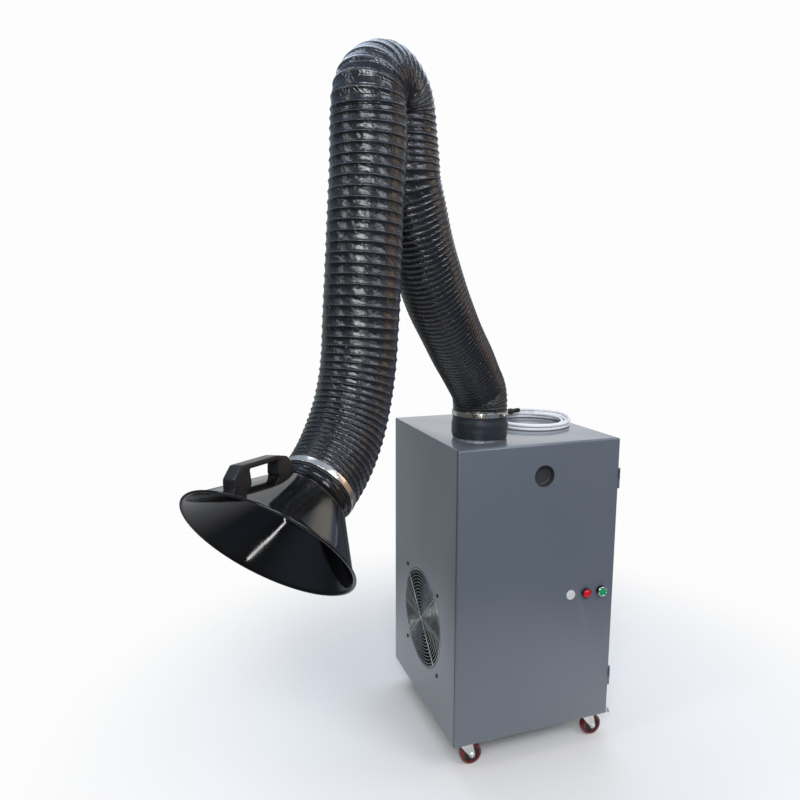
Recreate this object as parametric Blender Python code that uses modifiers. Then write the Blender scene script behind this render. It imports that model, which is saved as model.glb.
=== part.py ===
"""Mobile welding fume extractor: a sheet steel cabinet on casters, with a side fan, a filter
cassette, a front door with push buttons, and a ribbed hose arm that carries a suction hood.

Metres, +Z up. The origin is the middle of the cabinet's underside, the front faces -Y, and the
casters reach below it to the floor. Every piece is one object, in a collection of its own.
"""

import math

import bpy
import bmesh
from mathutils import Matrix, Vector

# Cabinet
CABINET_WIDTH = 0.500
CABINET_DEPTH = 0.510
CABINET_HEIGHT = 0.850
SHEET = 0.0015
BEND_RADIUS = 0.003
FRONT_FLANGE = 0.018
FIT_GAP = 0.0003
CUT_OVERRUN = 0.004
HOLE_EASE = 0.0008

# Front door, hung on the right with a finger hole near its top
DOOR_RETURN = 0.008
DOOR_SEAM = 0.0015
DOOR_EDGE_RADIUS = 0.004
FINGER_HOLE_RADIUS = 0.030
FINGER_HOLE_X = 0.008
FINGER_HOLE_DROP = 0.089
HINGE_RADIUS = 0.006
HINGE_PIN_RADIUS = 0.003
HINGE_KNUCKLE = 0.030
HINGE_HEIGHT_SHARES = (0.14, 0.86)
SEAL_WIDTH = 0.009

# Control row on the door
BUTTON_PITCH = 0.050
BUTTON_Z = 0.402
CONTROL_EDGE_INSET = 0.044
CONTROL_COUNT = 3
BEZEL_RADIUS = 0.0145
BEZEL_RIM = 0.0025
BEZEL_EDGE = 0.0012
LAMP_RISE = 0.003
BUTTON_STEM_RADIUS = 0.011
CAP_RADIUS = 0.0116
CAP_SKIRT = 0.005
CAP_TRAVEL = 0.0035
STOP_DOME = 0.0055
START_DOME = 0.0012
CAP_DOME_SHARES = ((0.0, 1.0), (0.55, 0.80), (0.85, 0.40), (1.0, 0.0))
STOP_BEZEL_RISE = 0.010
START_BEZEL_RISE = 0.014
CONTACT_BLOCK = 0.030
CONTACT_DEPTH = 0.042

# Inside the cabinet
SHELF_Z = 0.478
SHELF_MARGIN = 0.052
SHELF_LIP = 0.012
FILTER_DEPTH = 0.110
FILTER_FRAME_WALL = 0.014
FILTER_CLEARANCE = 0.020
PLEAT_COUNT = 15
PLEAT_FOLD = 0.014
PLEAT_INSET = 0.004
CONTROL_BOX_SIZE = (0.080, 0.200, 0.240)
CONTROL_BOX_Z = 0.060
CONTROL_BOX_Y = -0.020
CONTROL_BOX_EDGE = 0.003
BASE_FLANGE = 0.030
REAR_FLANGE = 0.016

# Fan in the left side
FAN_Y = 0.0055
FAN_Z = 0.268
FAN_OPENING_RADIUS = 0.150
FAN_BOLT_PITCH = 0.250
FAN_FLANGE_RADIUS = 0.192
FAN_FLANGE_SHEET = 0.0020
DUCT_RADIUS = 0.141
DUCT_DEPTH = 0.085
DUCT_WALL = 0.0020
IMPELLER_TIP_GAP = 0.004
IMPELLER_HUB_RADIUS = 0.048
IMPELLER_HUB_LENGTH = 0.040
IMPELLER_SETBACK = 0.014
BLADE_COUNT = 7
BLADE_SHEET = 0.0030
BLADE_ROOT_PITCH = 42.0
BLADE_TIP_PITCH = 24.0
BLADE_SWEEP = 16.0
BLADE_ROOT_CHORD_SHARE = 0.80
BLADE_TIP_CHORD = 0.088
BLADE_ROWS = 3
BLADE_COLUMNS = 3
MOTOR_BASE_RADIUS = 0.040
MOTOR_SHAFT_RADIUS = 0.006
MOTOR_ARM_WIDTH = 0.014
MOTOR_ARM_SHEET = 0.003
GUARD_RING_COUNT = 6
GUARD_INNER_RADIUS = 0.026
GUARD_WIRE = 0.0028
GUARD_SIDES = 16
GUARD_PHASE = 5.0
GUARD_SPOKE_STEP = 0.00012

# The angles of the guard's straight wires, which all cross its middle
GUARD_SPOKE_ANGLES = (0.0, 45.0, 135.0)
SCREW_HEAD_RADIUS = 0.0065
SCREW_HEAD_HEIGHT = 0.0032
SCREW_DOME_SHARES = ((0.60, 0.90), (1.0, 0.45))
SCREW_SHANK_RADIUS = 0.0025
SCREW_HOLE_RADIUS = 0.0034
SCREW_LENGTH = 0.009

# Casters
CASTER_INSET_X = 0.047
CASTER_INSET_Y = 0.045
CASTER_HEIGHT = 0.0865
WHEEL_RADIUS = 0.0315
WHEEL_WIDTH = 0.024
TREAD_THICKNESS = 0.009
WHEEL_TRAIL = 0.022
AXLE_RADIUS = 0.004
HUB_RADIUS = 0.011
PLATE_SIZE = (0.072, 0.060)
PLATE_SHEET = 0.003
RACE_RADIUS = 0.021
RACE_HEIGHT = 0.008
FORK_SHEET = 0.0022
FORK_SIDE_GAP = 0.0015
KING_PIN_RADIUS = 0.004
KING_HEAD_RADIUS = 0.0065
KING_HEAD_HEIGHT = 0.002
FORK_TOP_HALF = 0.018
FORK_FOOT_RADIUS = 0.009
BOLT_HEAD_RADIUS = 0.0068
BOLT_HEAD_HEIGHT = 0.0035
PEDAL_PIVOT_X = 0.0165
PEDAL_PIVOT_Z = -0.0172
PEDAL_BOSS_RADIUS = 0.0045
PEDAL_PIN_RADIUS = 0.0020
PEDAL_LENGTH = 0.062
PEDAL_RISE = 0.008
PEDAL_WIDTH = 0.025
PEDAL_SHEET = 0.0028
PEDAL_LINE_SHARES = ((0.055, 0.175), (0.22, 0.35), (0.40, 1.0), (0.86, 1.0), (1.0, 0.55))
FORK_FOOT_START = 190.0
FORK_FOOT_POINTS = 5
FORK_FOOT_SWEEP = 180.0
WHEEL_SIDES = 18
RACE_SIDES = 12
CORE_DISH = 0.003
TREAD_CROWN = 0.0022

# Air inlet and hose arm. Places in the arm's plane are (reach, height): reach from the inlet's
# axis towards the hood, height above the cabinet's underside.
INLET_X = -0.1213
INLET_Y = -0.110
ARM_AZIMUTH = -138.65
SPIGOT_RADIUS = 0.0735
SPIGOT_WALL = 0.0020
SPIGOT_RISE = 0.052
SPIGOT_DROP = 0.040
SPIGOT_FLANGE = 0.020
TURNTABLE_HEIGHT = 0.024
TURNTABLE_CLEARANCE = 0.0012
CUFF_RISE = 0.009
CUFF_RADIUS = 0.0768
CUFF_WALL = 0.0026
CUFF_FOOT_WAVE = 0.005
CLAMP_WIDTH = 0.0125
CLAMP_BAND = 0.0016
CLAMP_HOUSING = (0.026, 0.011, 0.0145)
CLAMP_SCREW_RADIUS = 0.0042
CLAMP_SCREW_REACH = 0.006
HOOD_CLAMP_ANGLE = 150.0
CUFF_BULGE = 0.0032
CUFF_BULGE_SHARES = ((1.0, 0.0), (0.78, 0.0), (0.34, 1.0), (0.0, 0.2))
CUFF_LIFT_ANGLE = 200.0
CLAMP_HOUSING_ANGLE = -58.0
HOSE_START = 0.080
END_LAND = 0.0012
BORE_STEP = 0.040
HOSE_RIDGE_RADIUS = 0.0770
HOSE_GROOVE_DEPTH = 0.0042
HOSE_BORE_RADIUS = 0.0660
HOSE_FOLD_PINCH = 0.0070
HOSE_SIDES_RESOLUTION = 2

# The hose's line: straight and curved runs, with the heading that each ends on, in degrees above
# the horizontal. The fold at the elbow is the run at FOLD_INDEX.
HOSE_FIRST_HEADING = 90.0
HOSE_RUN_LENGTHS = (0.013, 0.070, 0.215, 0.400, 0.048, 0.097, 0.2255, 0.140, 0.309, 0.139, 0.170)
HOSE_RUN_HEADINGS = (90.0, 42.0, 42.0, 64.2, 89.6, 89.6, -90.4, -84.2, -84.2, -67.2, -31.0)
FOLD_INDEX = 6
FOLD_HOLD = 0.100
FOLD_EASE = 0.060

# Hose sections from the cuff to the hood, with the share of the hose's length at which each ends
HOSE_SECTION_NAMES = ("hose_shoulder_bend", "hose_lower", "hose_elbow_bend", "hose_upper", "hose_wrist_bend")
HOSE_SECTION_END_SHARES = (0.080, 0.360, 0.670, 0.824, 1.000)
HOSE_RIB_PITCHES = (0.0180, 0.0200, 0.0200, 0.0220, 0.0200)

# Jointed support inside the hose
SHOULDER_DISTANCE = 0.045
WRIST_DISTANCE = 1.668
LINK_RADIUS = 0.0066
LINK_STEP = 0.045
EYE_RADIUS = 0.014
EYE_WIDTH = 0.014
EAR_SHEET = 0.004
EAR_RADIUS = 0.011
EAR_POINTS = 5
FORK_REACH = 0.032
FORK_BASE = 0.012
PIVOT_PIN_RADIUS = 0.005
PIVOT_CLEARANCE = 0.0004
CROSSBAR_WIDTH = 0.020
CROSSBAR_SHEET = 0.004

# Hood. Its own axes: z along the neck to the mouth, x to the handle side, y across.
NECK_RADIUS = 0.0735
HOSE_END_TO_CONE = 0.0369
SLEEVE_RADIUS = 0.0752
SLEEVE_END = 0.0175
BEARING_RADIUS = 0.0665
BEARING_WALL = 0.0025
BEARING_END = 0.0020
COLLAR_WALL = 0.0030
HOOD_NECK_INSERT = 0.0137
HOOD_SIDES = 28
HOOD_RING_SHARES = (0.0, 0.5, 1.0)
HOOD_WALL = 0.0026
HOOD_LENGTH = 0.125
HOOD_OFFSET = 0.015
MOUTH_RADIUS = 0.159
MOUTH_TILT = 9.75
HOOD_TURN = 7.8
RIM_ROLL = 0.0042
HANDLE_TRIM_SHARES = (-0.10, 1.25)
HANDLE_WIDTH = 0.028
HANDLE_EDGE = 0.003
HANDLE_SHIFT = 0.0

# The handle's side view, (along the neck, out from the neck's axis), as shares of the hood's length;
# its feet run on into the hood's wall and are trimmed to it.
HANDLE_OUTLINE_SHARES = (
    (1.034, 1.120),
    (0.906, 1.285),
    (0.702, 1.340),
    (0.148, 1.009),
    (0.004, 0.866),
    (-0.010, 0.732),
    (0.060, 0.500),
    (0.300, 0.600),
    (0.287, 0.795),
    (0.168, 0.935),
    (0.622, 1.204),
    (0.709, 1.047),
    (0.760, 0.950),
)

# Mains cord
CORD_RADIUS = 0.0045
CORD_SPACING = 0.0098
GLAND_DROP = 0.044
GLAND_RADIUS = 0.0115
GLAND_STEM_RADIUS = 0.0075
GLAND_LENGTH = 0.030
GLAND_BORE_DEPTH = 0.012
GLAND_CAP_SHARE = 0.78
CORD_ARC_STEPS = 8
CORD_BEND_RADIUS = 0.036
CORD_LANDING = 0.105
CORD_STEP = 0.020
COIL_X = 0.118
COIL_Y = 0.022
COIL_OUTER_RADIUS = 0.122
COIL_START_ANGLE = 180.0
COIL_POINTS_PER_LOOP = 24
COIL_LOWER_TURNS = 2.0
COIL_CLIMB_TURNS = 0.5
COIL_UPPER_TURNS = 1.8334
COIL_REVERSE_SHARE = 0.42
COIL_TAIL_TURNS = 0.4167
COIL_TAIL_CLIMB_SHARE = 0.48
COIL_TAIL_END_RADIUS = 0.078
COIL_LEAST_GAP = 0.0004
PLUG_LENGTH = 0.052
PLUG_RADIUS = 0.0100
PLUG_SLEEVE = 0.030
PLUG_SLEEVE_RADIUS = 0.0070
PLUG_BORE_RADIUS = 0.0058
PLUG_BORE_DEPTH = 0.005
PLUG_FACE_SHARE = 0.85
PIN_LENGTH = 0.019
PIN_RADIUS = 0.0024
PIN_PITCH = 0.0100

ROUND_SIDES = 20
FINE_SIDES = 28
SMALL_SIDES = 10
TINY_SIDES = 6
SCREW_SIDES = 8
SMOOTH_ANGLE = math.radians(35.0)
NEARLY_ALONG_SHARE = 0.9
POINT_WEIGHT = 1.0
MERGE_DISTANCE = 0.00001

# Places that follow from the sizes above
HALF_WIDTH = CABINET_WIDTH / 2
HALF_DEPTH = CABINET_DEPTH / 2
FINGER_HOLE_Z = CABINET_HEIGHT - FINGER_HOLE_DROP
GLAND_X = COIL_X - COIL_OUTER_RADIUS
GLAND_Z = CABINET_HEIGHT - GLAND_DROP
DOOR_FRONT_Y = -HALF_DEPTH
DOOR_BACK_Y = DOOR_FRONT_Y + DOOR_RETURN
WRAP_FRONT_Y = DOOR_BACK_Y + DOOR_SEAM
HINGE_AXIS = Vector((HALF_WIDTH + HINGE_RADIUS + FIT_GAP, WRAP_FRONT_Y - DOOR_SEAM / 2, 0.0))
ARM_DIRECTION = Vector((math.cos(math.radians(ARM_AZIMUTH)), math.sin(math.radians(ARM_AZIMUTH)), 0.0))
ARM_NORMAL = Vector((0.0, 0.0, 1.0)).cross(ARM_DIRECTION)
INLET = Vector((INLET_X, INLET_Y, 0.0))
FAN_PLANE_X = -HALF_WIDTH
SPIGOT_TOP = CABINET_HEIGHT + SPIGOT_RISE
TURNTABLE_TOP = SPIGOT_TOP + FIT_GAP + TURNTABLE_HEIGHT
HOSE_LENGTH = sum(HOSE_RUN_LENGTHS)
FOLD_HALF = HOSE_RUN_LENGTHS[FOLD_INDEX] / 2
ELBOW_DISTANCE = sum(HOSE_RUN_LENGTHS[:FOLD_INDEX]) + FOLD_HALF


def new_collection(name):
    """Make an empty collection under the scene's own."""
    collection = bpy.data.collections.new(name)
    bpy.context.scene.collection.children.link(collection)
    return collection


def clear_scene():
    """Remove the objects that the file opens with."""
    for thing in list(bpy.data.objects):
        bpy.data.objects.remove(thing, do_unlink=True)


clear_scene()
PARTS = new_collection("welding_fume_extractor")
CUTTERS = new_collection("cutters")
GUIDES = new_collection("guides")


def material(name, colour, roughness, metallic=0.0):
    """A Principled material with the part's plain colour."""
    made = bpy.data.materials.new(name)
    made.use_nodes = True
    shader = made.node_tree.nodes["Principled BSDF"]
    shader.inputs["Base Color"].default_value = (*colour, 1.0)
    shader.inputs["Roughness"].default_value = roughness
    shader.inputs["Metallic"].default_value = metallic
    made.diffuse_color = (*colour, 1.0)
    return made


POWDER_COAT = material("powder_coat", (0.105, 0.125, 0.150), 0.42)
GALVANISED = material("galvanised_sheet", (0.55, 0.57, 0.58), 0.45, 0.9)
ZINC = material("zinc_plate", (0.62, 0.64, 0.62), 0.35, 0.9)
STAINLESS = material("stainless_band", (0.66, 0.64, 0.58), 0.22, 1.0)
BLACK_PLASTIC = material("black_plastic", (0.012, 0.012, 0.014), 0.18)
BLACK_PAINT = material("black_paint", (0.020, 0.020, 0.022), 0.45)
HOSE_FABRIC = material("coated_hose_fabric", (0.014, 0.014, 0.017), 0.32)
CUFF_RUBBER = material("cuff_rubber", (0.030, 0.034, 0.040), 0.55)
FILTER_ALUMINIUM = material("filter_aluminium", (0.62, 0.63, 0.64), 0.40, 0.9)
FILTER_PAPER = material("filter_paper", (0.72, 0.71, 0.64), 0.95)
RED_PLASTIC = material("red_plastic", (0.70, 0.010, 0.020), 0.30)
GREEN_PLASTIC = material("green_plastic", (0.010, 0.42, 0.16), 0.30)
WHITE_PLASTIC = material("white_plastic", (0.80, 0.80, 0.78), 0.35)
RED_TREAD = material("red_polyurethane", (0.19, 0.010, 0.014), 0.40)
CORE_PLASTIC = material("wheel_core", (0.045, 0.047, 0.045), 0.45)
CORD_SHEATH = material("cord_sheath", (0.80, 0.81, 0.83), 0.40)
SEAL_FOAM = material("seal_foam", (0.020, 0.020, 0.020), 0.90)


def mesh_object(name, mesh_data, finish, collection=PARTS, matrix=None):
    """Wrap mesh data in an object with its material, placed by a matrix."""
    thing = bpy.data.objects.new(name, mesh_data)
    thing.data.materials.append(finish)
    collection.objects.link(thing)
    if matrix is not None:
        thing.matrix_world = matrix
    return thing


def smooth(thing):
    """Shade round faces smooth and keep real edges sharp."""
    thing.data.shade_smooth()
    thing.data.set_sharp_from_angle(angle=SMOOTH_ANGLE)
    return thing


def from_bmesh(name, shape, finish, collection=PARTS, matrix=None):
    """Turn a bmesh into an object and free it."""
    bmesh.ops.recalc_face_normals(shape, faces=shape.faces)
    data = bpy.data.meshes.new(name)
    shape.to_mesh(data)
    shape.free()
    return mesh_object(name, data, finish, collection, matrix)


def frame_on(origin, z_axis, x_hint):
    """A matrix at a point with its z axis along one direction and x close to another."""
    z_dir = Vector(z_axis).normalized()
    y_dir = z_dir.cross(Vector(x_hint)).normalized()
    x_dir = y_dir.cross(z_dir)
    turn = Matrix((x_dir, y_dir, z_dir)).transposed().to_4x4()
    return Matrix.Translation(Vector(origin)) @ turn


X_AXIS = Vector((1.0, 0.0, 0.0))
Y_AXIS = Vector((0.0, 1.0, 0.0))
Z_AXIS = Vector((0.0, 0.0, 1.0))


def block(name, low, high, finish, collection=PARTS, edge=0.0, matrix=None):
    """A box between two corners, with its long edges eased when edge isn't zero."""
    shape = bmesh.new()
    bmesh.ops.create_cube(shape, size=1.0)
    size = Vector(high) - Vector(low)
    middle = (Vector(high) + Vector(low)) / 2
    bmesh.ops.scale(shape, vec=size, verts=shape.verts)
    bmesh.ops.translate(shape, vec=middle, verts=shape.verts)
    thing = from_bmesh(name, shape, finish, collection, matrix)
    if edge:
        add_bevel(thing, edge, 1)
    return thing


def rod(name, radius, start, end, finish, collection=PARTS, sides=SMALL_SIDES, end_radius=None):
    """A round bar or cone between two points."""
    start = Vector(start)
    end = Vector(end)
    length = (end - start).length
    shape = bmesh.new()
    bmesh.ops.create_cone(
        shape, cap_ends=True, segments=sides, radius1=radius,
        radius2=radius if end_radius is None else end_radius, depth=length,
    )
    bmesh.ops.translate(shape, vec=(0.0, 0.0, length / 2), verts=shape.verts)
    hint = X_AXIS if abs((end - start).normalized().x) < NEARLY_ALONG_SHARE else Y_AXIS
    thing = from_bmesh(name, shape, finish, collection, frame_on(start, end - start, hint))
    return smooth(thing)


def turned(name, profile, finish, matrix=None, sides=ROUND_SIDES, collection=PARTS, closed=True):
    """A turned shape: (radius, height) points spun round z by a Screw modifier.

    A closed profile runs down its outer side and up its inner side.
    """
    shape = bmesh.new()
    corners = [shape.verts.new((radius, 0.0, height)) for radius, height in profile]
    for first, second in zip(corners, corners[1:]):
        shape.edges.new((first, second))
    if closed:
        shape.edges.new((corners[-1], corners[0]))
    data = bpy.data.meshes.new(name)
    shape.to_mesh(data)
    shape.free()
    thing = mesh_object(name, data, finish, collection, matrix)
    spin = thing.modifiers.new("spin", "SCREW")
    spin.steps = sides
    spin.render_steps = sides
    spin.use_merge_vertices = True
    spin.merge_threshold = MERGE_DISTANCE
    spin.use_normal_calculate = False
    spin.use_smooth_shade = False
    return thing


def ring_profile(inner, outer, low, high):
    """The closed section of a plain ring."""
    return [(outer, high), (outer, low), (inner, low), (inner, high)]


def flat_plate(name, outlines, thickness, finish, matrix, collection=PARTS):
    """A flat outline with holes, in the matrix's xy plane and centred on it."""
    data = bpy.data.curves.new(name, "CURVE")
    data.dimensions = "2D"
    data.fill_mode = "BOTH"
    data.extrude = thickness / 2
    for outline in outlines:
        spline = data.splines.new("POLY")
        spline.points.add(len(outline) - 1)
        for point, (x, y) in zip(spline.points, outline):
            point.co = (x, y, 0.0, POINT_WEIGHT)
        spline.use_cyclic_u = True
    thing = bpy.data.objects.new(name, data)
    data.materials.append(finish)
    collection.objects.link(thing)
    thing.matrix_world = matrix
    return thing


def circle_points(radius, sides, centre=(0.0, 0.0), start=0.0, sweep=2 * math.pi):
    """Points round a circle, or along an arc when the sweep is shorter."""
    full = abs(sweep - 2 * math.pi) < MERGE_DISTANCE
    last = sides if full else sides - 1
    return [
        (
            centre[0] + radius * math.cos(start + sweep * step / last),
            centre[1] + radius * math.sin(start + sweep * step / last),
        )
        for step in range(sides)
    ]


def outward(thing, towards):
    """Turn an open sheet's faces so that the one across a direction looks along it."""
    data = thing.data
    direction = Vector(towards)
    facing = max(data.polygons, key=lambda face: face.area * abs(face.normal.dot(direction)))
    if facing.normal.dot(direction) < 0:
        data.flip_normals()
    return thing


def as_mesh(curve_object):
    """Replace a curve object by a closed mesh object of the same name and place."""
    bpy.context.view_layer.update()
    graph = bpy.context.evaluated_depsgraph_get()
    data = bpy.data.meshes.new_from_object(curve_object.evaluated_get(graph))
    shape = bmesh.new()
    shape.from_mesh(data)
    bmesh.ops.remove_doubles(shape, verts=shape.verts, dist=MERGE_DISTANCE)
    bmesh.ops.recalc_face_normals(shape, faces=shape.faces)
    shape.to_mesh(data)
    shape.free()
    name = curve_object.name
    matrix = curve_object.matrix_world.copy()
    collection = curve_object.users_collection[0]
    bpy.data.objects.remove(curve_object, do_unlink=True)
    thing = bpy.data.objects.new(name, data)
    collection.objects.link(thing)
    thing.matrix_world = matrix
    return smooth(thing)


def tube(name, points, radius, finish, radii=None, resolution=2, collection=PARTS):
    """A tube along a line of points; radii are shares of the radius, one for each point."""
    data = bpy.data.curves.new(name, "CURVE")
    data.dimensions = "3D"
    data.bevel_depth = radius
    data.bevel_resolution = resolution
    data.use_fill_caps = True
    spline = data.splines.new("POLY")
    spline.points.add(len(points) - 1)
    for index, place in enumerate(points):
        spline.points[index].co = (*place, POINT_WEIGHT)
        spline.points[index].radius = 1.0 if radii is None else radii[index]
    thing = bpy.data.objects.new(name, data)
    data.materials.append(finish)
    collection.objects.link(thing)
    return thing


def add_bevel(thing, width, segments, angle=math.radians(30.0)):
    """Ease the sharp edges of an object."""
    bevel = thing.modifiers.new("bevel", "BEVEL")
    bevel.width = width
    bevel.segments = segments
    bevel.limit_method = "ANGLE"
    bevel.angle_limit = angle
    return thing


def add_thickness(thing, wall, offset=-1.0):
    """Give an open surface a wall; offset -1 keeps the surface as the outside."""
    solid = thing.modifiers.new("wall", "SOLIDIFY")
    solid.thickness = wall
    solid.offset = offset
    solid.use_even_offset = True
    return thing


def boolean(thing, tool, operation):
    """Join to, or cut from, an object; the tool goes with the cutters."""
    change = thing.modifiers.new(operation.lower(), "BOOLEAN")
    change.operation = operation
    change.solver = "EXACT"
    change.object = tool
    for owner in list(tool.users_collection):
        owner.objects.unlink(tool)
    CUTTERS.objects.link(tool)
    tool.hide_render = True
    tool.display_type = "WIRE"
    return thing


def cut(thing, tool):
    """Cut a hole."""
    return boolean(thing, tool, "DIFFERENCE")


def join(thing, tool):
    """Join a solid that overlaps."""
    return boolean(thing, tool, "UNION")


def pivot_empty(name, matrix):
    """An empty on a joint's axis, its z along the axis."""
    empty = bpy.data.objects.new(name, None)
    GUIDES.objects.link(empty)
    empty.matrix_world = matrix
    return empty


def hang_on(empty, *things):
    """Parent pieces to an empty and keep them where they are."""
    bpy.context.view_layer.update()
    for thing in things:
        place = thing.matrix_world.copy()
        thing.parent = empty
        thing.matrix_parent_inverse = Matrix.Identity(4)
        thing.matrix_basis = empty.matrix_world.inverted() @ place


# Cabinet sheets

def build_cabinet_wrap():
    """Left side, top and right side in one folded sheet, with a flange behind the door."""
    shape = bmesh.new()
    back_y = HALF_DEPTH
    front_y = WRAP_FRONT_Y
    inner = HALF_WIDTH - FRONT_FLANGE
    inner_top = CABINET_HEIGHT - FRONT_FLANGE
    outer_line = [
        (-HALF_WIDTH, 0.0), (-HALF_WIDTH, CABINET_HEIGHT), (HALF_WIDTH, CABINET_HEIGHT), (HALF_WIDTH, 0.0),
    ]
    inner_line = [(-inner, 0.0), (-inner, inner_top), (inner, inner_top), (inner, 0.0)]
    rows = [
        [shape.verts.new((x, back_y, z)) for x, z in outer_line],
        [shape.verts.new((x, front_y, z)) for x, z in outer_line],
        [shape.verts.new((x, front_y, z)) for x, z in inner_line],
    ]
    for near, far in zip(rows, rows[1:]):
        for index in range(len(outer_line) - 1):
            shape.faces.new((near[index], near[index + 1], far[index + 1], far[index]))
    wrap = outward(from_bmesh("cabinet_wrap", shape, POWDER_COAT), Z_AXIS)
    bend = wrap.modifiers.new("bends", "BEVEL")
    bend.width = BEND_RADIUS
    bend.segments = 2
    bend.limit_method = "ANGLE"
    bend.angle_limit = SMOOTH_ANGLE
    add_thickness(wrap, SHEET)
    opening = rod(
        "fan_opening_cutter", FAN_OPENING_RADIUS,
        (FAN_PLANE_X - CUT_OVERRUN, FAN_Y, FAN_Z), (FAN_PLANE_X + CUT_OVERRUN, FAN_Y, FAN_Z),
        POWDER_COAT, CUTTERS, FINE_SIDES,
    )
    cut(wrap, opening)
    inlet_hole = rod(
        "inlet_hole_cutter", SPIGOT_RADIUS + FIT_GAP,
        INLET + Z_AXIS * (CABINET_HEIGHT - CUT_OVERRUN), INLET + Z_AXIS * (CABINET_HEIGHT + CUT_OVERRUN),
        POWDER_COAT, CUTTERS, ROUND_SIDES,
    )
    cut(wrap, inlet_hole)
    for index, (y, z) in enumerate(fan_screw_places()):
        hole = rod(
            f"fan_screw_hole_{index + 1}_cutter", SCREW_HOLE_RADIUS,
            (FAN_PLANE_X - CUT_OVERRUN, y, z), (FAN_PLANE_X + CUT_OVERRUN, y, z),
            POWDER_COAT, CUTTERS, TINY_SIDES,
        )
        cut(wrap, hole)
    for height in hinge_heights():
        join(wrap, hinge_knuckle(f"wrap_knuckle_{height:.3f}", height, HINGE_KNUCKLE, WRAP_FRONT_Y, 1.0))
        join(wrap, hinge_pin(f"wrap_pin_{height:.3f}", height))
    return wrap


def fan_screw_places():
    """The (y, z) places of the four screws round the fan."""
    half = FAN_BOLT_PITCH / 2
    return [(FAN_Y + side * half, FAN_Z + rise * half) for rise in (1, -1) for side in (-1, 1)]


def hinge_heights():
    """The height of the joint between the two knuckles of each hinge."""
    return [CABINET_HEIGHT * share for share in HINGE_HEIGHT_SHARES]


def hinge_knuckle(name, height, length, edge_y, side):
    """A hinge barrel and the web that welds it to a sheet edge; side is +1 to the rear."""
    low = height - length if side > 0 else height + FIT_GAP
    high = low + length
    barrel = rod(
        name, HINGE_RADIUS, HINGE_AXIS + Z_AXIS * low, HINGE_AXIS + Z_AXIS * high,
        POWDER_COAT, CUTTERS, SMALL_SIDES,
    )
    reach_y = edge_y + side * HINGE_RADIUS
    web_y = HINGE_AXIS.y + side * HINGE_RADIUS / 3
    web = block(
        name + "_web",
        (HALF_WIDTH - SHEET / 2, min(web_y, reach_y), low + FIT_GAP),
        (HALF_WIDTH + HINGE_RADIUS / 2, max(web_y, reach_y), high - FIT_GAP),
        POWDER_COAT, CUTTERS,
    )
    join(barrel, web)
    if side < 0:
        bore = rod(
            name + "_bore", HINGE_PIN_RADIUS + FIT_GAP,
            HINGE_AXIS + Z_AXIS * (low - CUT_OVERRUN), HINGE_AXIS + Z_AXIS * (high + CUT_OVERRUN),
            POWDER_COAT, CUTTERS, SMALL_SIDES,
        )
        cut(barrel, bore)
    return barrel


def hinge_pin(name, height):
    """The pin that stands up from the cabinet's knuckle into the door's."""
    return rod(
        name, HINGE_PIN_RADIUS, HINGE_AXIS + Z_AXIS * (height - HINGE_KNUCKLE / 2),
        HINGE_AXIS + Z_AXIS * (height + HINGE_KNUCKLE), ZINC, CUTTERS, SMALL_SIDES,
    )


def tray(name, low, high, open_axis, open_sign, flange, finish):
    """A sheet tray: one flat face with a flange folded round it towards its open side.

    low and high are the outer corners of the flat face; open_axis is 1 for a tray that stands
    and 2 for one that lies.
    """
    across = [axis for axis in range(3) if axis != open_axis]
    corners = []
    for first, second in ((0, 0), (1, 0), (1, 1), (0, 1)):
        place = [0.0, 0.0, 0.0]
        place[across[0]] = (low, high)[first][across[0]]
        place[across[1]] = (low, high)[second][across[1]]
        place[open_axis] = low[open_axis]
        corners.append(Vector(place))
    lift = Vector((0.0, 0.0, 0.0))
    lift[open_axis] = open_sign * flange
    shape = bmesh.new()
    floor = [shape.verts.new(corner) for corner in corners]
    rim = [shape.verts.new(corner + lift) for corner in corners]
    shape.faces.new(floor)
    for index in range(4):
        following = (index + 1) % 4
        shape.faces.new((floor[index], floor[following], rim[following], rim[index]))
    thing = from_bmesh(name, shape, finish)
    return thing


def build_base_tray():
    """The cabinet's floor, folded up at its edges inside the sides."""
    side = HALF_WIDTH - SHEET - FIT_GAP
    front = WRAP_FRONT_Y + SHEET + FIT_GAP
    back = HALF_DEPTH - SHEET - 2 * FIT_GAP
    base = tray("base_tray", (-side, front, 0.0), (side, back, 0.0), 2, 1, BASE_FLANGE, POWDER_COAT)
    outward(base, (0.0, 0.0, -1.0))
    add_bevel(base, BEND_RADIUS, 1)
    add_thickness(base, SHEET)
    return base


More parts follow.
